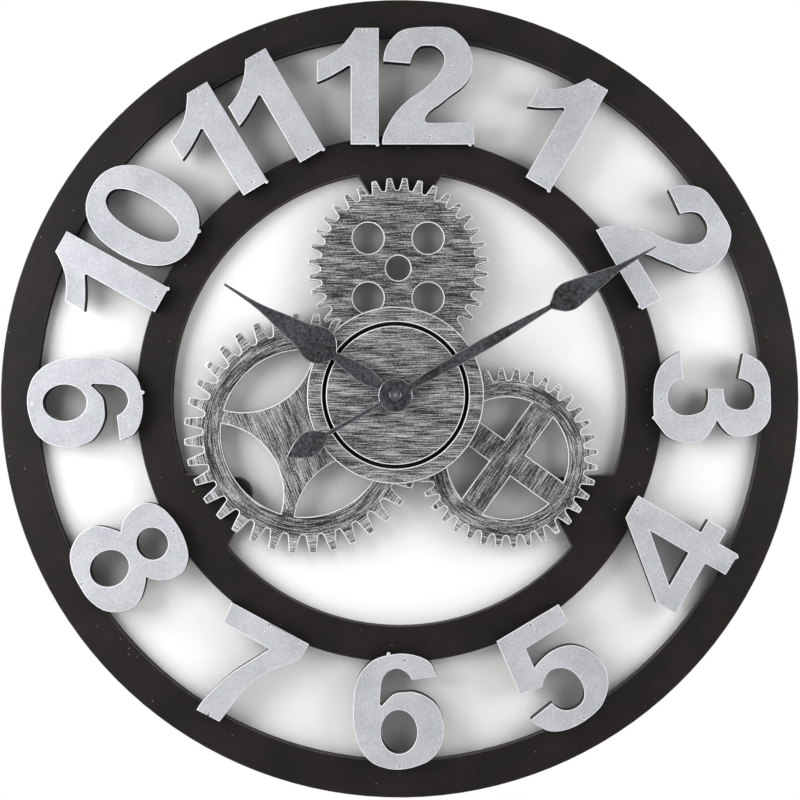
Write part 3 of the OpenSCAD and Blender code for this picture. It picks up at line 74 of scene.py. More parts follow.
# %% [markdown]
# ## Colours and nodes
#
# A colour is written as a web code, as a paint chart gives it, and Blender wants linear light, so
# one function turns one into the other. Nodes could be placed by hand in the editor, but a script
# that adds a node with its settings and links in one line keeps every recipe below readable.

# %% Helper: colour
def linear(code):
    """Linear colour of a web code: c / 12.92 up to 0.04045, above ((c + 0.055) / 1.055) ^ 2.4."""
    c = np.array([int(code[i:i + 2], 16) for i in (1, 3, 5)]) / 255
    c = np.where(c <= 0.04045, c / 12.92, ((c + 0.055) / 1.055) ** 2.4)
    return (*c.tolist(), 1.0)


print("mid grey is", linear("#808080")[0])


# %% Helper: one node
def add(tree, kind, links=None, **settings):
    """Adds one node. links gives each input a value, or the output that feeds it."""
    node = tree.nodes.new(kind)
    for name, value in settings.items():
        setattr(node, name, value)
    for socket, value in (links or {}).items():
        if isinstance(value, bpy.types.NodeSocket):
            tree.links.new(value, node.inputs[socket])
        else:
            node.inputs[socket].default_value = value
    return node


def new_material(name):
    """A new material, its node tree, its shader, and the Object coordinates its patterns read."""
    material = bpy.data.materials.new(name)
    material.use_nodes = True
    tree = material.node_tree
    where = add(tree, "ShaderNodeTexCoord").outputs["Object"]
    return material, tree, tree.nodes["Principled BSDF"], where


print("helpers ready")


# %% Helpers: steps that several recipes share
def off_axis(tree, point, axis):
    """The way to a point from an axis (x, z) along y, that way with y = 0, and its length."""
    away = add(tree, "ShaderNodeVectorMath", {0: point, 1: (axis[0], 0, axis[1])},
               operation="SUBTRACT").outputs[0]
    flat = add(tree, "ShaderNodeVectorMath", {0: away, 1: (1, 0, 1)},
               operation="MULTIPLY").outputs[0]
    length = add(tree, "ShaderNodeVectorMath", {0: flat}, operation="LENGTH").outputs["Value"]
    return away, flat, length


def two_tone(tree, noise, low, high, deep, bright):
    """A colour that goes from deep to bright while a noise goes from low to high."""
    spread = add(tree, "ShaderNodeMapRange", {"Value": noise, "From Min": low, "From Max": high})
    mixed = add(tree, "ShaderNodeMix", {"Factor": spread.outputs[0], "A": linear(deep),
                                        "B": linear(bright)}, data_type="RGBA")
    return mixed.outputs["Result"]


def surface(tree, shader, noise, low, high, height, depth, strength):
    """Roughness from low to high with one noise, and a bump, its depth in metres, from another."""
    dull = add(tree, "ShaderNodeMapRange", {"Value": noise, "To Min": low, "To Max": high})
    tree.links.new(dull.outputs[0], shader.inputs["Roughness"])
    bump = add(tree, "ShaderNodeBump", {"Height": height, "Distance": depth,
                                        "Strength": strength})
    tree.links.new(bump.outputs["Normal"], shader.inputs["Normal"])


print("shared steps ready")

# %% [markdown]
# ## Camera
#
# The photograph looks straight at the dial, from less than a millimetre right of and below its
# middle. Its distance is taken as 1.4 m. The lens could be found by trying, but it follows from
# two lengths: the picture is to span 501.3 mm at the ring's front plane.

# %% Camera
dial_z = -0.2355
dial_middle = Vector((0.0, -0.009, dial_z))
camera_distance = 1.4
seen_width = 0.5013
off_x, off_z = 0.00022, -0.00075

camera = bpy.data.objects.new("camera", bpy.data.cameras.new("camera"))
bpy.context.scene.collection.objects.link(camera)
camera.location = dial_middle + Vector((off_x, -camera_distance, off_z))
camera.rotation_euler = (math.radians(90), 0, 0)
camera.data.sensor_width = 36
camera.data.lens = camera.data.sensor_width * camera_distance / seen_width
camera.data.clip_start = 0.01
bpy.context.scene.camera = camera
print("lens", round(camera.data.lens, 1), "mm")

# %% [markdown]
# ## World
#
# A studio's white walls stand behind the object and also light it from all sides. One world
# colour could do both, but a world that is white enough to look at would wash the object out. So
# it is white where it is looked at, mirrored or seen through, and lights at a third of that.

# %% World
scene = bpy.context.scene
scene.view_settings.view_transform = "Standard"
world = bpy.data.worlds.new("studio")
scene.world = world
world.use_nodes = True
tree = world.node_tree
tree.nodes.clear()
path = add(tree, "ShaderNodeLightPath")
seen = add(tree, "ShaderNodeMath", {0: path.outputs["Is Camera Ray"],
                                    1: path.outputs["Is Glossy Ray"]}, operation="MAXIMUM")
seen = add(tree, "ShaderNodeMath", {0: seen.outputs[0],
                                    1: path.outputs["Is Transmission Ray"]}, operation="MAXIMUM")
ambient = add(tree, "ShaderNodeBackground", {"Color": linear("#ffffff"), "Strength": 0.32})
backdrop = add(tree, "ShaderNodeBackground", {"Color": linear("#ffffff"), "Strength": 1.0})
mixed = add(tree, "ShaderNodeMixShader", {0: seen.outputs[0], 1: ambient.outputs[0],
                                          2: backdrop.outputs[0]})
add(tree, "ShaderNodeOutputWorld", {"Surface": mixed.outputs[0]})
print("world ready")

# %% [markdown]
# ## Wall and floor
#
# The clock hangs on a pale wall, which shows through the rings with soft shadows. Outside the
# clock the photograph is plain white, so the wall fades to white there. The wall counts only for
# rays that look at it from the front, which lets the back of the clock be seen and lit. Close to
# the clock the wall darkens further than lamps alone would make it: an ambient occlusion node
# reads how much the pieces in front cover it. A plain white background would be simpler, but it
# could take no shadows.

# %% Two flat sheets
wall_y = 0.0008
floor_z = -0.56


def flat_sheet(name, corners):
    """A flat sheet through four corners."""
    mesh = bpy.data.meshes.new(name)
    mesh.from_pydata(corners, [], [(0, 1, 2, 3)])
    sheet = bpy.data.objects.new(name, mesh)
    scene.collection.objects.link(sheet)
    return sheet


wall = flat_sheet("wall", [(-2, wall_y, floor_z), (2, wall_y, floor_z), (2, wall_y, 1.8),
                           (-2, wall_y, 1.8)])
floor = flat_sheet("floor", [(-4, -4, floor_z), (4, -4, floor_z), (4, 4, floor_z),
                             (-4, 4, floor_z)])
print("wall at", wall_y, "m, floor at", floor_z, "m")

# %% Wall paint
clock_edge = 0.2485
# Pale matt wall paint: white to the eye, softly grey close to the clock.
paint = bpy.data.materials.new("wall_paint")
paint.use_nodes = True
tree = paint.node_tree
tree.nodes.clear()
where = add(tree, "ShaderNodeTexCoord")
from_hub = add(tree, "ShaderNodeVectorMath", {0: where.outputs["Object"],
                                              1: (0, wall_y, dial_z)}, operation="DISTANCE")
outside = add(tree, "ShaderNodeMapRange", {"Value": from_hub.outputs["Value"],
                                           "From Min": clock_edge,
                                           "From Max": clock_edge + 0.001})
path = add(tree, "ShaderNodeLightPath")
looked_at = add(tree, "ShaderNodeMath", {0: path.outputs["Is Camera Ray"],
                                         1: path.outputs["Is Glossy Ray"]}, operation="MAXIMUM")
side = add(tree, "ShaderNodeNewGeometry")
from_front = add(tree, "ShaderNodeMath", {0: looked_at.outputs[0], 1: side.outputs["Backfacing"]},
                 operation="SUBTRACT", use_clamp=True)
openness = add(tree, "ShaderNodeAmbientOcclusion", {"Distance": 0.06}, samples=8)
deepened = add(tree, "ShaderNodeMapRange", {"Value": openness.outputs["AO"], "From Min": 0.03,
                                            "From Max": 0.5, "To Min": 0.4},
               interpolation_type="SMOOTHSTEP")
shaded = add(tree, "ShaderNodeBsdfDiffuse", {"Color": deepened.outputs[0]})
white = add(tree, "ShaderNodeEmission", {"Color": linear("#ffffff"), "Strength": 1.0})
see_through = add(tree, "ShaderNodeBsdfTransparent")
both = add(tree, "ShaderNodeMixShader", {0: outside.outputs[0], 1: shaded.outputs[0],
                                         2: white.outputs[0]})
final = add(tree, "ShaderNodeMixShader", {0: from_front.outputs[0], 1: see_through.outputs[0],
                                          2: both.outputs[0]})
add(tree, "ShaderNodeOutputMaterial", {"Surface": final.outputs[0]})
wall.data.materials.append(paint)
print("wall turns white at", clock_edge, "m from the hub")

# %% Floor paint
# A pale matt floor: it takes soft shadows and mirrors nothing.
ground = bpy.data.materials.new("floor_paint")
ground.use_nodes = True
shader = ground.node_tree.nodes["Principled BSDF"]
shader.inputs["Base Color"].default_value = linear("#ecebe9")
shader.inputs["Roughness"].default_value = 0.9
floor.data.materials.append(ground)
print("floor painted")

# %% [markdown]
# ## Lamps
#
# A sun would give hard shadows, so all three lamps are wide squares. Two stand close to the left
# and the right side, the left one stronger, so the numerals at both sides are brighter than those
# in the middle, as in the photograph. The third one stands behind, for the views of the back.

# %% Lamps
def soft_lamp(name, place, size, watts):
    """A square lamp at place that looks at the dial."""
    lamp = bpy.data.lights.new(name, "AREA")
    lamp.size = size
    lamp.energy = watts
    obj = bpy.data.objects.new(name, lamp)
    scene.collection.objects.link(obj)
    obj.location = place
    to_dial = Vector((0, 0, dial_z)) - Vector(place)
    obj.rotation_euler = to_dial.to_track_quat("-Z", "Y").to_euler()
    obj.visible_camera = False
    return obj


lamps = [soft_lamp("key", (-0.52, -0.37, -0.15), 0.45, 3.4),
         soft_lamp("fill", (0.56, -0.4, -0.14), 0.45, 2.3),
         soft_lamp("back", (-0.5, 1.2, 0.3), 0.9, 15)]
print("lamps:", [lamp.name for lamp in lamps])

# %% [markdown]
# ## Sprayed paint
#
# The rings are board under a dark brown matt lacquer, and the numerals have an aluminium paint.
# Both were sprayed, which leaves a coat that is a little uneven, fine grit, and dust specks caught
# in it. A picture of paint could be laid over the board, but it would repeat and stretch. Noise in
# millimetres is the same on every piece and from every side. Such paint scatters light, so its
# roughness is near a half or above, and its reflection is weak.

# %% Sprayed paint
def sprayed_paint(name, deep, light, speck, roughness, specular, speck_size, speck_share,
                  grit_size=0.7, grit_share=0.45):
    """Paint between two colours, in patches of 30 mm mixed with fine grit, and a share of specks.

    A speck sits in the middle of some cells of a cell pattern. All sizes are in mm.
    """
    material, tree, shader, where = new_material(name)
    patches = add(tree, "ShaderNodeTexNoise", {"Vector": where, "Scale": 1000 / 30,
                                               "Detail": 5.0, "Roughness": 0.65})
    grit = add(tree, "ShaderNodeTexNoise", {"Vector": where, "Scale": 1000 / grit_size,
                                            "Detail": 2.0})
    both = add(tree, "ShaderNodeMix", {"Factor": grit_share, "A": patches.outputs["Fac"],
                                       "B": grit.outputs["Fac"]})
    coat = two_tone(tree, both.outputs["Result"], 0.38, 0.62, deep, light)
    cells = add(tree, "ShaderNodeTexVoronoi", {"Vector": where, "Scale": 1000 / speck_size})
    lot = add(tree, "ShaderNodeSeparateColor", {"Color": cells.outputs["Color"]})
    chosen = add(tree, "ShaderNodeMath", {0: lot.outputs[0], 1: speck_share},
                 operation="LESS_THAN")
    near = add(tree, "ShaderNodeMapRange", {"Value": cells.outputs["Distance"],
                                            "From Min": 0.12, "From Max": 0.04})
    is_speck = add(tree, "ShaderNodeMath", {0: chosen.outputs[0], 1: near.outputs[0]},
                   operation="MULTIPLY")
    dusted = add(tree, "ShaderNodeMix", {"Factor": is_speck.outputs[0], "A": coat,
                                         "B": linear(speck)}, data_type="RGBA")
    tree.links.new(dusted.outputs["Result"], shader.inputs["Base Color"])
    shader.inputs["Roughness"].default_value = roughness
    shader.inputs["Specular IOR Level"].default_value = specular
    bump = add(tree, "ShaderNodeBump", {"Height": grit.outputs["Fac"], "Distance": 0.00008,
                                        "Strength": 0.35})
    tree.links.new(bump.outputs["Normal"], shader.inputs["Normal"])
    return material


print("specks sit in a share of the cells")

# %% Paints of the boards
# Matt lacquer on board: almost black to the eye, with a dull sheen at the sides.
dark_paint = sprayed_paint("dark_matt_paint", "#110e0d", "#201b1a", "#75706c", 0.5, 0.18, 5, 0.1)
# The same lacquer soaked into a sawn edge: duller, with next to no reflection.
sawn_edge = sprayed_paint("painted_sawn_edge", "#151312", "#211d1c", "#4b4542", 0.8, 0.08, 4, 0.1)
# Aluminium flake in lacquer: pale cool grey, with bright flakes that stand out.
silver_paint = sprayed_paint("silver_aluminium_paint", "#a9abb1", "#c6c8ce", "#ffffff",
                             0.5, 0.35, 4, 0.22, 0.9, 0.5)
# Painted highlight in pale grey: a faint line on a ring's rounded edge.
dark_edge_painted_highlight = sprayed_paint("dark_edge_painted_highlight", "#3a3534", "#57514f", "#8d8884", 0.6, 0.2, 3, 0.3)
# Painted highlight in paler silver: the light line that outlines numerals and gears.
silver_edge_highlight = sprayed_paint("silver_edge_painted_highlight", "#e4e6ea", "#f4f5f8", "#ffffff", 0.45, 0.4, 3, 0.3)
print("paints:", [m.name for m in bpy.data.materials])

# %% [markdown]
# ## Dry-brushed silver over dark
#
# The gears and the disc were painted dark, then a nearly dry brush dragged silver over them, which
# leaves fine streaks along the stroke. The streaks could be drawn one by one; a noise stretched
# along the stroke and tight across it draws them all at once. On the two spoked wheels the brush
# followed the rim, so the noise reads the point's distance from the hub there and, far more
# slowly, its direction. A brush drops most of its paint where it runs over an end, so the teeth
# are lighter than the rim that carries them.

# %% Path of the brush
def brush_path(tree, where, hub, angle, ring_from):
    """The point as the brush met it, its distance from the hub (x, z), and a share on the rim.

    Straight strokes run at an angle and read (along / 18 mm + across / 7 mm, across / 0.5 mm),
    where the second part staggers their ends. From the radius ring_from outwards they are round
    and read (direction * 3, radius / 0.5 mm). Before that the point is shifted by up to 1.8 mm in
    slow waves, since no hand draws a straight line.
    """
    wave = 0.0018
    waves = add(tree, "ShaderNodeTexNoise", {"Vector": where, "Scale": 1000 / 45, "Detail": 1.0})
    # Inputs 9 and 10 are the To Min and To Max of the vector.
    shift = add(tree, "ShaderNodeMapRange", {"Vector": waves.outputs["Color"],
                                             9: (-wave, 0, -wave), 10: (wave, 0, wave)},
                data_type="FLOAT_VECTOR")
    shifted = add(tree, "ShaderNodeVectorMath", {0: where, 1: shift.outputs["Vector"]},
                  operation="ADD")
    centred, flat, radius = off_axis(tree, shifted.outputs[0], hub)
    turned = add(tree, "ShaderNodeVectorRotate", {"Vector": centred,
                                                  "Angle": math.radians(angle)},
                 rotation_type="Y_AXIS")
    along = add(tree, "ShaderNodeVectorMath", {0: turned.outputs[0],
                                               1: (1000 / 18, 0, 1000 / 7)},
                operation="DOT_PRODUCT")
    across = add(tree, "ShaderNodeVectorMath", {0: turned.outputs[0], 1: (0, 0, 1000 / 0.5)},
                 operation="DOT_PRODUCT")
    straight = add(tree, "ShaderNodeCombineXYZ", {"X": along.outputs["Value"],
                                                  "Y": across.outputs["Value"]})
    direction = add(tree, "ShaderNodeVectorMath", {0: flat}, operation="NORMALIZE")
    slow = add(tree, "ShaderNodeVectorMath", {0: direction.outputs[0], "Scale": 3.0},
               operation="SCALE")
    fast = add(tree, "ShaderNodeMath", {0: radius, 1: 1000 / 0.5}, operation="MULTIPLY")
    outwards = add(tree, "ShaderNodeCombineXYZ", {"Y": fast.outputs[0]})
    curved = add(tree, "ShaderNodeVectorMath", {0: slow.outputs[0], 1: outwards.outputs[0]},
                 operation="ADD")
    on_ring = add(tree, "ShaderNodeMapRange", {"Value": radius, "From Min": ring_from - 0.0015,
                                               "From Max": ring_from + 0.0015})
    stroke = add(tree, "ShaderNodeMix", {"Factor": on_ring.outputs[0], "A": straight.outputs[0],
                                         "B": curved.outputs[0]}, data_type="VECTOR")
    return stroke.outputs["Result"], radius, on_ring.outputs[0]


print("a stroke is 0.5 mm wide and some 18 mm long")

# %% Dry-brushed silver
# Silver dragged over dark grey: to the eye a wood-like grain, neither paint hiding the other.
bare_grey, brushed_silver = "#1c1c1d", "#d3d4d6"
# No wheel reaches this radius in metres, so it stands for "nowhere".
beyond = 1.0


def dry_brushed(name, hub, angle, cover, ring_from=beyond, ring_cover=0.0, root=beyond,
                tooth_cover=0.0):
    """Streaks of silver over dark: the noise of the brush path, plus how well it covers.

    Dry and loaded areas of the brush follow the same stroke, 24 mm long and 8 mm wide. The cover
    is one number inside, one on the rim, and one beyond the root radius of the teeth.
    """
    material, tree, shader, where = new_material(name)
    stroke, radius, on_ring = brush_path(tree, where, hub, angle, ring_from)
    streaks = add(tree, "ShaderNodeTexNoise", {"Vector": stroke, "Scale": 1.0, "Detail": 2.0,
                                               "Roughness": 0.6})
    slower = add(tree, "ShaderNodeVectorMath", {0: stroke, 1: (18 / 24, 0.5 / 8, 18 / 24)},
                 operation="MULTIPLY")
    patches = add(tree, "ShaderNodeTexNoise", {"Vector": slower.outputs[0], "Scale": 1.0,
                                               "Detail": 2.0})
    lift = add(tree, "ShaderNodeMapRange", {"Value": patches.outputs["Fac"], "From Min": 0.3,
                                            "From Max": 0.7, "To Min": -0.045, "To Max": 0.045})
    grit = add(tree, "ShaderNodeTexNoise", {"Vector": where, "Scale": 1000 / 0.7, "Detail": 1.0})
    mixed = add(tree, "ShaderNodeMix", {"Factor": 0.25, "A": streaks.outputs["Fac"],
                                        "B": grit.outputs["Fac"]})
    raised = add(tree, "ShaderNodeMath", {0: mixed.outputs["Result"], 1: lift.outputs[0]},
                 operation="ADD")
    covered = add(tree, "ShaderNodeMapRange", {"Value": on_ring, "To Min": cover,
                                               "To Max": ring_cover})
    on_tooth = add(tree, "ShaderNodeMapRange", {"Value": radius, "From Min": root - 0.001,
                                                "From Max": root + 0.003})
    covered = add(tree, "ShaderNodeMix", {"Factor": on_tooth.outputs[0],
                                          "A": covered.outputs[0], "B": tooth_cover})
    raised = add(tree, "ShaderNodeMath", {0: raised.outputs[0], 1: covered.outputs[0]},
                 operation="ADD")
    silver = add(tree, "ShaderNodeMapRange", {"Value": raised.outputs[0], "From Min": 0.42,
                                              "From Max": 0.64})
    coat = add(tree, "ShaderNodeMix", {"Factor": silver.outputs[0], "A": linear(bare_grey),
                                       "B": linear(brushed_silver)}, data_type="RGBA")
    tree.links.new(coat.outputs["Result"], shader.inputs["Base Color"])
    shader.inputs["Roughness"].default_value = 0.5
    shader.inputs["Specular IOR Level"].default_value = 0.3
    bump = add(tree, "ShaderNodeBump", {"Height": silver.outputs[0], "Distance": 0.00006,
                                        "Strength": 0.3})
    tree.links.new(bump.outputs["Normal"], shader.inputs["Normal"])
    return material


print("brushed from", bare_grey, "to", brushed_silver)

# %% One coat for each wheel
shaft = (-0.0026, -0.2333)


def from_shaft(distance, angle):
    """The point (x, z) at a distance and an angle from the shaft."""
    return (shaft[0] + distance * math.cos(math.radians(angle)),
            shaft[1] + distance * math.sin(math.radians(angle)))


top_hub = from_shaft(0.0794, 88.8)
left_hub = from_shaft(0.0616, 202.7)
right_hub = from_shaft(0.0801, -29.3)
brushed = {
    "top_gear": dry_brushed("dry_brushed_top", top_hub, 0, -0.045, root=0.049),
    "left_gear": dry_brushed("dry_brushed_left", left_hub, 112, -0.015, ring_from=0.050,
                             ring_cover=-0.047, root=0.064, tooth_cover=0.005),
    "right_gear": dry_brushed("dry_brushed_right", right_hub, 55, -0.05, ring_from=0.037,
                              ring_cover=-0.04, root=0.049, tooth_cover=0.012),
    "centre_disc": dry_brushed("dry_brushed_disc", shaft, 0, -0.03),
}
print("hubs", top_hub, left_hub, right_hub)

# %% [markdown]
# ## Eased edges
#
# A sawn and painted board has a slightly rounded edge, which catches the light. The
# CAD solid is sharp, so a copy of it takes its place. The rounding catches the lamps, and the
# light line along it is also drawn in the material as a painted highlight. The copy's loose
# triangles are merged, its flat faces joined again, and a Bevel modifier rounds every sharp front
# edge and gives the new strip the paler colour of that painted highlight. A Weighted Normal
# modifier then lets the largest face decide the shading at each corner, so that a flat front
# stays flat to the eye. The sawn sides and the back stay dark.

# %% Merged copy
same_place = 2e-6


def merged_copy(node, name, merge=same_place):
    """A mesh of a CAD node's triangles with corners nearer than merge made one, in a bmesh too."""
    mesh = bpy.data.meshes.new(name)
    work = bmesh.new()
    work.from_mesh(cad[node].data)
    bmesh.ops.remove_doubles(work, verts=work.verts, dist=merge)
    return mesh, work


def per_face(mesh, attribute):
    """One vector for each face of a mesh, such as its normal or its centre, as an array."""
    values = np.empty(len(mesh.polygons) * 3, dtype=np.float32)
    mesh.polygons.foreach_get(attribute, values)
    return values.reshape(-1, 3)


def dress(mesh, paints, index):
    """Gives a mesh its materials, and every face the one at its index."""
    for paint in paints:
        mesh.materials.append(paint)
    index = np.broadcast_to(index, len(mesh.polygons)).astype(np.int32)
    mesh.polygons.foreach_set("material_index", index)


print("corners nearer than", same_place, "m are one")


# %% Eased copy
flat_enough, sharp, creased = math.radians(0.2), math.radians(38), math.radians(32)
edge_band, face_band = 0.0011, 0.001


def eased_copy(node, width, face, edge, sides, merge=same_place):
    """A copy of a CAD node whose sharp front edges are rounded by width.

    It has a paint for its face, one for the rounded edge, whose paler colour is a painted
    highlight, and one for its sides. Faces flatter than flat_enough are joined, and edges in the
    front band that are sharper than sharp are rounded. Corners nearer to each other than merge
    become one, so that the rounding has room.
    """
    mesh, work = merged_copy(node, node + "_eased", merge)
    bmesh.ops.dissolve_degenerate(work, edges=work.edges, dist=same_place)
    bmesh.ops.dissolve_limit(work, angle_limit=flat_enough, verts=work.verts, edges=work.edges)
    bmesh.ops.recalc_face_normals(work, faces=work.faces)
    weight = work.edges.layers.float.new("bevel_weight_edge")
    front_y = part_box(node)[0].y
    for rim in work.edges:
        rim[weight] = float(rim.is_convex and rim.calc_face_angle(0) > sharp
                            and max(end.co.y for end in rim.verts) < front_y + edge_band)
    work.to_mesh(mesh)
    work.free()
    in_front = ((per_face(mesh, "normal")[:, 1] < -0.5)
                & (per_face(mesh, "center")[:, 1] - front_y < face_band))
    dress(mesh, (face, edge, sides), np.where(in_front, 0, 2))
    mesh.polygons.foreach_set("use_smooth", np.ones(len(mesh.polygons), dtype=bool))
    mesh.set_sharp_from_angle(angle=creased)
    piece = bpy.data.objects.new(node + "_eased", mesh)
    scene.collection.objects.link(piece)
    ease = piece.modifiers.new("rounded_edge_painted_highlight", "BEVEL")
    ease.width = width
    ease.segments = 2
    ease.limit_method = "WEIGHT"
    # The strip takes the paler edge paint, a painted highlight.
    ease.material = 1
    ease.use_clamp_overlap = False
    ease.loop_slide = False
    ease.miter_outer = "MITER_ARC"
    flat = piece.modifiers.new("flat_faces", "WEIGHTED_NORMAL")
    flat.keep_sharp = True
    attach(piece, cad[node]["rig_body"])
    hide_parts(node)
    return piece


print("front band", edge_band, "m deep")

# %% Rings, numerals, gears and disc
numerals = [n for n in cad if n.startswith("numeral")]
gear_merge = {"top_gear": 0.0004, "left_gear": 0.0004}
eased = {}
# Every rounded edge here gets a paler paint, a painted highlight.
for ring in ("outer_ring", "inner_ring"):
    eased[ring] = eased_copy(ring, 0.0005, dark_paint, dark_edge_painted_highlight, sawn_edge)
for numeral in numerals:
    eased[numeral] = eased_copy(numeral, 0.0005, silver_paint, silver_edge_highlight, sawn_edge,
                                merge=0.0001)
for gear in ("top_gear", "left_gear", "right_gear", "centre_disc"):
    eased[gear] = eased_copy(gear, 0.0006, brushed[gear], silver_edge_highlight, sawn_edge,
                             merge=gear_merge.get(gear, same_place))
print("eased:", {n: len(o.data.polygons) for n, o in eased.items()})

# %% [markdown]
# ## Turned pieces
#
# The open nut, the threaded bushing and the battery are turned on a lathe or drawn round an axis.
# They could be spun from a drawn curve. Here each is a grid of points instead, where one parameter
# runs along the profile and the other round the axis, because a grid can also carry a knurl or a
# thread. The whole grid is worked out at once as an array, and the last row joins the first, so
# that the skin is closed.

# %% A skin from a grid of points
def skin(name, points, node, paint, body=None):
    """A closed skin from points[i, j] in mm: i runs round the profile, j round the axis.

    Both wrap. It stands for a CAD node, or with no node it is an extra on the body.
    """
    rows, columns = points.shape[:2]
    i, j = np.meshgrid(np.arange(rows), np.arange(columns), indexing="ij")
    below, beside = (i + 1) % rows, (j + 1) % columns
    faces = np.stack([i * columns + j, below * columns + j, below * columns + beside,
                      i * columns + beside], axis=-1)
    mesh = bpy.data.meshes.new(name)
    mesh.from_pydata((points.reshape(-1, 3) / 1000).tolist(), [], faces.reshape(-1, 4).tolist())
    work = bmesh.new()
    work.from_mesh(mesh)
    bmesh.ops.remove_doubles(work, verts=work.verts, dist=1e-6)
    bmesh.ops.recalc_face_normals(work, faces=work.faces)
    work.to_mesh(mesh)
    work.free()
    mesh.polygons.foreach_set("use_smooth", np.ones(len(mesh.polygons), dtype=bool))
    mesh.set_sharp_from_angle(angle=math.radians(35))
    mesh.materials.append(paint)
    piece = bpy.data.objects.new(name, mesh)
    scene.collection.objects.link(piece)
    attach(piece, body or cad[node]["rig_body"])
    if node:
        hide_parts(node)
    print(name, len(mesh.polygons), "faces")
    return piece


print("a skin joins its last row to its first")


# %% Round the y axis, and round the x axis
def around(steps):
    """Angles of evenly spaced columns round an axis, the last one short of the full turn."""
    return np.linspace(0, 2 * np.pi, steps, endpoint=False)


def round_y(profile, turn, swell=0.0, centre=shaft):
    """Points in mm round an axis along y for a profile of (radius, depth):

    x = centre x + (radius + swell) * cos(turn), y = depth,
    z = centre z + (radius + swell) * sin(turn).
    """
    radius = profile[:, :1] + swell
    return np.stack([centre[0] * 1000 + radius * np.cos(turn), profile[:, 1:] + 0 * radius * turn,
                     centre[1] * 1000 + radius * np.sin(turn)], axis=-1)


def round_x(along, radius, axis, turn):
    """Points in mm round an axis (y, z) along x:

    x = along, y = axis y + radius * cos(turn), z = axis z + radius * sin(turn).
    """
    return np.stack([along + 0 * turn, axis[0] + radius * np.cos(turn),
                     axis[1] + radius * np.sin(turn)], axis=-1)


print("shaft at", shaft)

# %% [markdown]
# ## Metals and plastics of the movement
#
# Behind the disc sits a battery movement. Its case is moulded in black ABS with the fine grain of
# a spark-eroded mould, its wheels in acetal, a slightly waxy plastic. Pipes, nuts and washers are
# turned, so fine rings run round their axis. Strips and plates are stamped from rolled sheet, with
# faint straight lines along the sheet. One grey for all would be quicker, but the eye tells these
# apart by their grain alone. The real grain is a tenth of a millimetre; it is drawn a little
# coarser, so that it shows.

# %% Moulded plastic
def moulded(name, colour, pale, roughness, grain, arbor=None):
    """Plastic: slow flow marks between two colours, over 12 mm, and a pimpled grain in mm.

    A wheel may sit on a dark steel arbor: all within 0.45 mm of that axis (x, z) is metal.
    """
    material, tree, shader, where = new_material(name)
    flow = add(tree, "ShaderNodeTexNoise", {"Vector": where, "Scale": 1000 / 12, "Detail": 4.0})
    tint = two_tone(tree, flow.outputs["Fac"], 0.35, 0.65, colour, pale)
    tree.links.new(tint, shader.inputs["Base Color"])
    if arbor:
        from_arbor = off_axis(tree, where, arbor)[2]
        metal = add(tree, "ShaderNodeMath", {0: from_arbor, 1: 0.00045}, operation="LESS_THAN")
        steel = add(tree, "ShaderNodeMix", {"Factor": metal.outputs[0], "A": tint,
                                            "B": linear("#3d3e41")}, data_type="RGBA")
        tree.links.new(steel.outputs["Result"], shader.inputs["Base Color"])
        tree.links.new(metal.outputs[0], shader.inputs["Metallic"])
    pimples = add(tree, "ShaderNodeTexNoise", {"Vector": where, "Scale": 1000 / grain,
                                               "Detail": 2.0}).outputs["Fac"]
    surface(tree, shader, pimples, roughness - 0.08, roughness + 0.08, pimples, 0.00005, 0.3)
    return material


# Moulded ABS from an eroded mould: black with a fine dull grain that breaks up highlights.
black_abs = moulded("moulded_black_abs", "#17181a", "#1f2022", 0.5, 0.25)
# Acetal, natural or cream: smooth and waxy, with a soft broad highlight.
cream_acetal = moulded("moulded_cream_acetal", "#ddd6c2", "#e6e0cf", 0.35, 0.4)
acetal_on_arbor = moulded("moulded_acetal_on_steel_arbor", "#ddd6c2", "#e6e0cf", 0.35, 0.4,
                          arbor=shaft)
white_acetal = moulded("moulded_white_acetal", "#dfdfdb", "#eaeae6", 0.35, 0.4)
# Rubber cut from sheet: dead matt, so it has no sheen beside the case.
rubber_sheet = moulded("rubber_sheet", "#191919", "#262626", 0.85, 0.3)
print("plastics ready")


# %% Turned metal
def turned(name, deep, bright, roughness, axis=shaft):
    """Metal with rings round an axis (x, z): noise over direction + (radius + y) / 0.12 mm."""
    material, tree, shader, where = new_material(name)
    centred, flat, radius = off_axis(tree, where, axis)
    parts = add(tree, "ShaderNodeSeparateXYZ", {"Vector": centred})
    tool = add(tree, "ShaderNodeMath", {0: radius, 1: parts.outputs["Y"]}, operation="ADD")
    tool = add(tree, "ShaderNodeMath", {0: tool.outputs[0], 1: 1000 / 0.12},
               operation="MULTIPLY")
    slow = add(tree, "ShaderNodeVectorMath", {0: flat}, operation="NORMALIZE")
    outwards = add(tree, "ShaderNodeCombineXYZ", {"Y": tool.outputs[0]})
    groove = add(tree, "ShaderNodeVectorMath", {0: slow.outputs[0], 1: outwards.outputs[0]},
                 operation="ADD")
    rings = add(tree, "ShaderNodeTexNoise", {"Vector": groove.outputs[0], "Scale": 1.0,
                                             "Detail": 3.0}).outputs["Fac"]
    tint = two_tone(tree, rings, 0.3, 0.7, deep, bright)
    tree.links.new(tint, shader.inputs["Base Color"])
    shader.inputs["Metallic"].default_value = 1.0
    surface(tree, shader, rings, roughness + 0.1, roughness - 0.1, rings, 0.00003, 0.3)
    return material


# Turned brass, unlacquered: warm yellow with fine rings that spread the highlight.
turned_brass = turned("turned_brass", "#b08b45", "#dcc07c", 0.32)
# Turned and zinc plated: a cool darker grey with the same fine rings.
plated_zinc = turned("turned_plated_zinc", "#55575b", "#7f8185", 0.35)
# Turned and black nickel plated: dark, smooth, and bright only where it mirrors a lamp.
black_nickel = turned("turned_black_nickel", "#46474a", "#646569", 0.1)
print("turned metals ready")


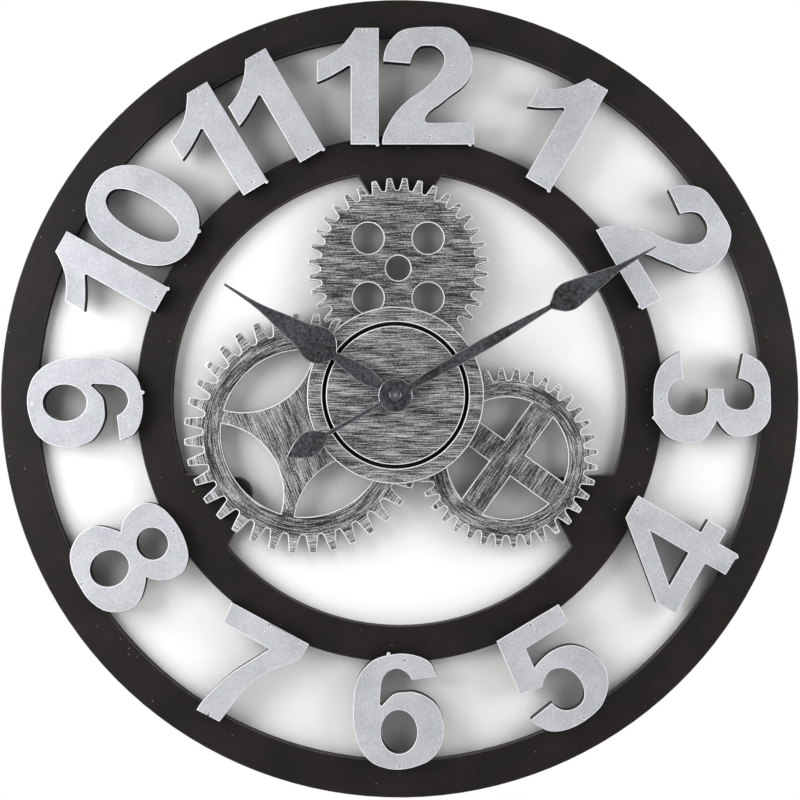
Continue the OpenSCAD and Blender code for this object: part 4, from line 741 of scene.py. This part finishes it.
# %% Rolled sheet
def rolled(name, deep, bright, roughness, metallic=1.0):
    """Sheet metal: lines along x, 0.15 mm apart and 8 mm long, under cloudy stains over 5 mm."""
    material, tree, shader, where = new_material(name)
    drawn = add(tree, "ShaderNodeMapping", {"Vector": where,
                                            "Scale": (1000 / 8, 1000 / 0.15, 1000 / 0.15)})
    lines = add(tree, "ShaderNodeTexNoise", {"Vector": drawn.outputs[0], "Scale": 1.0,
                                             "Detail": 2.0})
    stains = add(tree, "ShaderNodeTexNoise", {"Vector": where, "Scale": 1000 / 5, "Detail": 4.0})
    both = add(tree, "ShaderNodeMix", {"Factor": 0.5, "A": lines.outputs["Fac"],
                                       "B": stains.outputs["Fac"]})
    tint = two_tone(tree, both.outputs["Result"], 0.35, 0.65, deep, bright)
    tree.links.new(tint, shader.inputs["Base Color"])
    shader.inputs["Metallic"].default_value = metallic
    surface(tree, shader, stains.outputs["Fac"], roughness - 0.12, roughness + 0.12,
            lines.outputs["Fac"], 0.00003, 0.25)
    return material


# Spring steel strip: pale and fairly bright.
spring_steel = rolled("rolled_spring_steel", "#a7a9ab", "#cfd0d1", 0.3)
# Zinc plated steel: pale, a little darker and duller than bare strip.
plated_steel = rolled("zinc_plated_steel", "#989b9d", "#c3c6c8", 0.38)
# Annealed iron of the stator: a blue-grey scale.
motor_iron = rolled("annealed_motor_iron", "#55595f", "#7f848b", 0.45)
# Sintered ferrite of the magnet: a ceramic, near black and only faintly metallic.
ferrite = rolled("sintered_ferrite", "#2b2b2d", "#3d3d40", 0.6, 0.2)
print(len(bpy.data.materials), "materials")

# %% [markdown]
# ## Hands
#
# The hands are punched from thin steel sheet and sprayed with a dark graphite coat, a little
# shinier than the board's. The coat is thin at the punched edge, so the edge is bare steel. Its
# bright line could be painted on, but it would then shine in the dark too: a metal mirrors what it
# faces, and draws a bright line only where it faces a lamp.

# %% Hands
# Graphite coat on steel: dark grey, mottled over 1.8 mm, a little glossier than the boards.
graphite = sprayed_paint("graphite_paint", "#0c0d0f", "#4a4c50", "#9a9da3",
                         0.45, 0.25, 3, 0.2, 1.8, 0.55)
# Bare steel where the punch cut: a thin line that lights up where it faces a lamp.
punched_edge = rolled("punched_bare_steel_edge", "#7c7e81", "#a6a8ab", 0.2)
for hand in ("hour_hand", "minute_hand"):
    eased[hand] = eased_copy(hand, 0.0004, graphite, punched_edge, graphite)

# %% [markdown]
# ## Open nut
#
# The nut that holds the minute hand is the foremost piece. It is a small blackened ring with a
# knurled grip and a rounded lip. The lip could be a beveled edge, but as half a circle in the
# profile it is round all over, and from the front only it catches the light of the lamps.

# %% Open nut
nut_front, lip_r, lip_half, nut_r, nut_bore = -33.4, 3.4, 0.58, 4.0, 1.42
bend = np.linspace(np.pi, 0, 13)
nut_profile = np.concatenate([
    [(nut_bore, nut_front + 2), (nut_bore, nut_front + 1), (2.75, nut_front + 1),
     (2.8, nut_front + 0.9)],
    np.stack([lip_r + lip_half * np.cos(bend), nut_front + 0.5 - 0.5 * np.sin(bend)], axis=-1),
    [(3.98, nut_front + 0.7), (nut_r, nut_front + 0.85), (nut_r, nut_front + 1.75),
     (3.85, nut_front + 2)]])
turn = around(192)
grip = np.zeros((len(nut_profile), 1))
grip[-3:-1] = 1
knurl = -0.07 * grip * (1 + np.cos(32 * turn))
skin("open_nut", round_y(nut_profile, turn, knurl), "hand_nut", black_nickel)
print("nut from", nut_profile.min(axis=0), "to", nut_profile.max(axis=0))

# %% [markdown]
# ## Threaded bushing
#
# The movement is clamped to the disc by a brass bushing with a fine thread, which shows between
# the disc and the hands. A thread could be a stack of rings, but a real one climbs: its radius
# depends on both parameters, so that the ridges move on by one pitch at each turn of the axis. The
# thread is 0.75 mm a turn, and it fades out at its end.

# %% Threaded bushing
pitch, thread_depth, fade = 0.75, 0.32, 0.6
thread_r, bushing_bore, flange_r = 3.9, 2.36, 5.5
flange_back, thread_from, thread_to = -14.9, -15.8, -27.5
steps = 188
turn = around(72)
flange = [(bushing_bore, thread_to), (bushing_bore, flange_back), (5.3, flange_back),
          (flange_r, -15.1), (flange_r, thread_from)]
thread_y = np.linspace(thread_from, thread_to, steps)
bushing_profile = np.concatenate([flange,
                                  np.stack([np.full(steps, thread_r), thread_y], axis=-1)])
phase = (bushing_profile[:, 1:] / pitch + turn / (2 * np.pi)) % 1
ends = np.clip((bushing_profile[:, 1:] - thread_to) / fade, 0, 1)
ridge = np.abs(2 * phase - 1) * ends + (1 - ends)
ridge[:len(flange)] = 0
skin("threaded_bushing_turned", round_y(bushing_profile, turn, -thread_depth * ridge),
     "threaded_bushing", turned_brass)
print("thread:", round((thread_from - thread_to) / pitch, 1), "turns")

# %% [markdown]
# ## Coil winding
#
# The motor coil is wound from enamelled copper wire, far thinner than can be drawn. Each turn
# could be a curve of its own, at a great many faces. It is shown as 60 turns of 0.3 mm, a helical
# ripple on the spool: the radius follows half a sine over each turn of the wire.

# %% Coil winding
wire, groove_depth = 0.3, 0.09
coil_from, coil_to, coil_rows = -6.35, 11.65, 481
spool_r, coil_r, coil_axis = 2.1, 3.0, (-9.7, -212.5)
coil_x = np.linspace(coil_from, coil_to, coil_rows)
turn = around(48)
lay = np.concatenate([[spool_r], np.full(coil_rows, coil_r), [spool_r]])[:, None]
along_x = np.concatenate([[coil_from], coil_x, [coil_to]])[:, None]
ripple = np.abs(np.sin(np.pi * (along_x / wire + turn / (2 * np.pi))))
radius = lay - groove_depth * (1 - ripple) * (lay > spool_r)
# Enamelled copper: red-brown and fairly glossy, so every turn of the wire glints.
copper = rolled("enamelled_copper", "#8a4520", "#c77a45", 0.3)
skin("copper_winding", round_x(along_x, radius, coil_axis, turn), "coil_winding", copper)
print("wire laid:", round((coil_to - coil_from) / wire), "turns")

# %% [markdown]
# ## Battery
#
# The cell is a steel can in a shrunk plastic sleeve, with rolled shoulders at both ends, a flat
# foot and a small raised contact. A plain cylinder would do from afar, but the shoulders catch the
# light. Its profile is turned about an axis along x. The sleeve is plain grey-blue with a pale
# band at the raised end and the usual plus and minus signs, so that it can be put in the right
# way. The signs are printed on it, so they are drawn in the material: each bar of a sign is the
# place where the larger of its two scaled distances is under 1.

# %% Sleeve of the battery
cell_axis = (-8.495, -252.5)
cell_y, cell_z = cell_axis[0] / 1000, cell_axis[1] / 1000
# A thin film, glossy but for slow duller clouds, which reads as plastic shrunk over metal.
sleeve, tree, shader, where = new_material("printed_shrink_sleeve")
place = add(tree, "ShaderNodeSeparateXYZ", {"Vector": where})
pale_band = add(tree, "ShaderNodeMath", {0: place.outputs["X"], 1: 0.0125},
                operation="GREATER_THAN")
sign_half, bar_half = 0.0017, 0.0004
level, upright = (sign_half, bar_half), (bar_half, sign_half)
printed = None
for middle, bars in ((-0.0205, [level]), (0.0080, [level, upright])):
    for half_x, half_z in bars:
        off = add(tree, "ShaderNodeVectorMath", {0: where, 1: (middle, 0, cell_z)},
                  operation="SUBTRACT")
        size = add(tree, "ShaderNodeVectorMath", {0: off.outputs[0], 1: (half_x, 1, half_z)},
                   operation="DIVIDE")
        size = add(tree, "ShaderNodeVectorMath", {0: size.outputs[0]}, operation="ABSOLUTE")
        size = add(tree, "ShaderNodeSeparateXYZ", {"Vector": size.outputs[0]})
        size = add(tree, "ShaderNodeMath", {0: size.outputs["X"], 1: size.outputs["Z"]},
                   operation="MAXIMUM")
        bar = add(tree, "ShaderNodeMath", {0: size.outputs[0], 1: 1.0}, operation="LESS_THAN")
        if printed:
            bar = add(tree, "ShaderNodeMath", {0: printed, 1: bar.outputs[0]},
                      operation="MAXIMUM")
        printed = bar.outputs[0]
clouds = add(tree, "ShaderNodeTexNoise", {"Vector": where, "Scale": 1000 / 3, "Detail": 3.0})
blue = add(tree, "ShaderNodeMix", {"Factor": clouds.outputs["Fac"], "A": linear("#34485c"),
                                   "B": linear("#3e546a")}, data_type="RGBA")
banded = add(tree, "ShaderNodeMix", {"Factor": pale_band.outputs[0], "A": blue.outputs["Result"],
                                     "B": linear("#c9ccd0")}, data_type="RGBA")
signed = add(tree, "ShaderNodeMix", {"Factor": printed, "A": banded.outputs["Result"],
                                     "B": linear("#e9ebee")}, data_type="RGBA")
tree.links.new(signed.outputs["Result"], shader.inputs["Base Color"])
wrinkle = add(tree, "ShaderNodeMapRange", {"Value": clouds.outputs["Fac"], "To Min": 0.22,
                                           "To Max": 0.38})
tree.links.new(wrinkle.outputs[0], shader.inputs["Roughness"])
print("sleeve printed")

# %% Battery
foot, tip, straight_r, shoulder = -27.8, 22.6, 6.1, 1.0
bend = np.linspace(0, np.pi / 2, 9)
lower, upper = foot + 0.9, tip - 2.1
cell_profile = np.concatenate([
    [(0, foot), (4.6, foot), (4.9, foot + 0.25), (straight_r, foot + 0.25)],
    np.stack([straight_r + shoulder * np.sin(bend), lower - 0.65 * np.cos(bend)], axis=-1),
    np.stack([straight_r + shoulder * np.cos(bend), upper + 0.9 * np.sin(bend)], axis=-1),
    [(5.2, tip - 1.2), (3.0, tip - 1.2), (2.7, tip - 1.05), (2.7, tip - 0.2), (2.45, tip),
     (0, tip)]])
turn = around(96)
cell = skin("sleeved_cell", round_x(cell_profile[:, 1:], cell_profile[:, :1], cell_axis, turn),
            "battery", sleeve)
middles = per_face(cell.data, "center")
bare = np.hypot(middles[:, 1] - cell_y, middles[:, 2] - cell_z) < 0.0058
dress(cell.data, [spring_steel], bare)
print("cell", round(tip - foot, 1), "mm long,", int(bare.sum()), "bare faces")

# %% [markdown]
# ## Circuit board
#
# The board is green laminate with copper tracks under the lacquer. The tracks could be strips of
# their own, but lacquer smooths them to a slight step, so they are drawn. They run along the
# board, 1.1 mm apart and a little lighter than the green between them.

# %% Circuit board
# Glass laminate under green lacquer: glossy, with lighter bars where copper lies below.
lacquer, tree, shader, where = new_material("lacquered_circuit_board")
place = add(tree, "ShaderNodeSeparateXYZ", {"Vector": where})
rows = add(tree, "ShaderNodeMath", {0: place.outputs["Z"], 1: 1000 / 1.1}, operation="MULTIPLY")
rows = add(tree, "ShaderNodeMath", {0: rows.outputs[0]}, operation="FRACT")
track = add(tree, "ShaderNodeMath", {0: rows.outputs[0], 1: 0.45}, operation="LESS_THAN")
green = add(tree, "ShaderNodeMix", {"Factor": track.outputs[0], "A": linear("#1f4a2c"),
                                    "B": linear("#3c7044")}, data_type="RGBA")
tree.links.new(green.outputs["Result"], shader.inputs["Base Color"])
shader.inputs["Roughness"].default_value = 0.3
bump = add(tree, "ShaderNodeBump", {"Height": track.outputs[0], "Distance": 0.00004,
                                    "Strength": 0.5})
tree.links.new(bump.outputs["Normal"], shader.inputs["Normal"])
print("board ready")

# %% [markdown]
# ## Setting knob's grip
#
# The knob that sets the hands has a ribbed rim and a low bar across its back, for the fingertip.
# Ribs could be copied boxes; as a radius that swings 30 times round the knob they need no joints.
# The bar is a flattened oval, highest in its middle.

# %% Ribbed rim
knob = (0.01366, -0.2369)
turn = around(240)
ribbed = np.array([(4.9, -0.65), (5.1, -0.65), (5.2, -0.75), (5.2, -1.85), (5.1, -1.95),
                   (4.9, -1.95)])
rib = 0.12 * np.cos(30 * turn) * np.array([0, 1, 1, 1, 1, 0])[:, None]
skin("knob_grip", round_y(ribbed, turn, rib, knob), None, white_acetal,
     body="setting")

# %% Bar across the back
bar_length, bar_width, bar_back, bar_rise = 3.6, 0.8, -0.62, 0.27
quarter_turn = np.linspace(0, np.pi / 2, 7)
height = np.concatenate([[0.0], np.sin(quarter_turn)])[:, None]
spread = np.concatenate([[0.0], np.cos(quarter_turn)])[:, None]
turn = around(64)
skin("knob_bar", np.stack([knob[0] * 1000 + bar_length * spread * np.cos(turn),
                           bar_back + bar_rise * height + 0 * turn,
                           knob[1] * 1000 + bar_width * spread * np.sin(turn)], axis=-1),
     None, white_acetal, body="setting")

# %% [markdown]
# ## Screws with a cross
#
# The wood screws are plated and have a cross recess that narrows towards its floor, as the point
# of a screwdriver does. A dark mark on the head would not show from the side, so it is a real
# hole, and its walls and floor are also coloured a darker steel as painted shade. Its outline is
# one quarter turned four times, and the recess is the skin between that outline above the head
# and a smaller one below it. A Boolean cuts it out of each screw's head.

# %% Steel of the screws
# Plated steel that a tool has rubbed: a little darker than the plates.
cross_steel = rolled("cross_recess_steel", "#8f9193", "#c3c6c8", 0.36)
# The recess is a much darker steel than the head: painted shade, on top of the real shade of its
# depth.
recess_shade_steel = rolled("recess_steel_painted_shade", "#3a3b3d", "#5b5c5f", 0.5)
print("screw steels ready")


# %% Cross recesses
def cross_recesses(heads, size):
    """A closed cross under each head (x, y, z): arms of 1.3 mm, 0.7 mm wide, 0.8 mm deep.

    All are times size. A corner is (head x + scale * a, head y + shift, head z + scale * b) for
    the outline (a, b). It stands 0.1 mm above the head, and the floor is 0.6 times as large.
    """
    arm, half = 1.3, 0.35
    quarter = np.array([(half, arm), (-half, arm), (-half, half)])
    t = np.arange(4) * math.pi / 2
    turns = np.stack([np.cos(t), np.sin(t), -np.sin(t), np.cos(t)], axis=-1).reshape(4, 2, 2)
    outline = (quarter @ turns).reshape(-1, 2) * size / 1000
    scale, shift = np.array([1.0, 0.6]), np.array([0.0001, -0.0008]) * size
    ring = np.stack([scale[:, None] * outline[:, 0], shift[:, None] + 0 * outline[:, 0],
                     scale[:, None] * outline[:, 1]], axis=-1)
    points = np.array(heads)[:, None, None, :] + ring
    corners = len(outline)
    here = np.arange(corners)
    beside = (here + 1) % corners
    walls = np.stack([here, here + corners, beside + corners, beside], axis=-1)
    cross = [here, here[::-1] + corners, *walls]
    faces = [(face + 2 * corners * k).tolist() for k in range(len(heads)) for face in cross]
    mesh = bpy.data.meshes.new("cross_recesses")
    mesh.from_pydata(points.reshape(-1, 3).tolist(), [], faces)
    work = bmesh.new()
    work.from_mesh(mesh)
    bmesh.ops.recalc_face_normals(work, faces=work.faces)
    work.to_mesh(mesh)
    work.free()
    # The recess gets the darker steel: painted shade.
    dress(mesh, (cross_steel, recess_shade_steel), 1)
    return mesh


print("a recess has 12 walls and a floor")


# %% Heads of the screws
def screw_heads(mesh):
    """The middle and the outer end (x, y, z) of each screw in a mesh.

    The screws of a node stand far apart, so all points within 8 mm of one are one screw.
    """
    points = np.empty(len(mesh.vertices) * 3, dtype=np.float32)
    mesh.vertices.foreach_get("co", points)
    left, heads = points.reshape(-1, 3), []
    while len(left):
        near = np.hypot(left[:, 0] - left[0, 0], left[:, 2] - left[0, 2]) < 0.008
        low, high = left[near].min(axis=0), left[near].max(axis=0)
        heads.append(((low[0] + high[0]) / 2, high[1], (low[2] + high[2]) / 2))
        left = left[~near]
    return heads


print("cover screws are 0.45 times the size of the others")

# %% Cut the recesses
for node in ("tab_screws", "disc_screws", "hanger_screws", "cover_screws"):
    mesh, work = merged_copy(node, node + "_crossed")
    work.to_mesh(mesh)
    work.free()
    dress(mesh, (cross_steel, recess_shade_steel), 0)
    heads = screw_heads(mesh)
    piece = bpy.data.objects.new(node + "_crossed", mesh)
    cutter = bpy.data.objects.new(node + "_cutter",
                                  cross_recesses(heads, 0.45 if node == "cover_screws" else 1.0))
    scene.collection.objects.link(piece)
    scene.collection.objects.link(cutter)
    cut = piece.modifiers.new("cross", "BOOLEAN")
    cut.object = cutter
    cut.solver = "EXACT"
    bpy.context.view_layer.update()
    ready = piece.evaluated_get(bpy.context.evaluated_depsgraph_get())
    piece.data = bpy.data.meshes.new_from_object(ready)
    piece.modifiers.clear()
    bpy.data.objects.remove(cutter)
    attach(piece, cad[node]["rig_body"])
    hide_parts(node)
    print(node, len(heads), "crosses,", len(piece.data.polygons), "faces")

# %% [markdown]
# ## Finishes on the CAD pieces
#
# Most pieces of the works keep their CAD shape. Each could be given its material by name, but the
# record already names a finish for each, so one table from finish to material dresses them all.
# The seconds wheel's arbor is steel in the same solid as the wheel, so it gets a material of both.

# %% Finishes
finishes = {
    "black_plastic": black_abs, "cream_plastic": cream_acetal, "white_plastic": white_acetal,
    "rubber": rubber_sheet, "brass": turned_brass, "zinc_pipe": plated_zinc,
    "open_nut": black_nickel, "contact_steel": spring_steel, "crystal_can": spring_steel,
    "hanger_steel": plated_steel, "screws": plated_steel, "brad_heads": plated_steel,
    "motor_iron": motor_iron, "magnet": ferrite, "board": lacquer,
}
replaced = ("hand_nut", "threaded_bushing", "coil_winding", "battery", "tab_screws",
            "disc_screws", "hanger_screws", "cover_screws")
plain = []
for name, piece in cad.items():
    slot = piece.material_slots[0]
    slot_name = slot.material.name if slot.material else ""
    if slot_name in finishes:
        slot.material = finishes[slot_name]
    elif name not in eased and name not in replaced:
        plain.append((name, slot_name))
cad["seconds_wheel"].material_slots[0].material = acetal_on_arbor
print("without a finish so far:", plain)
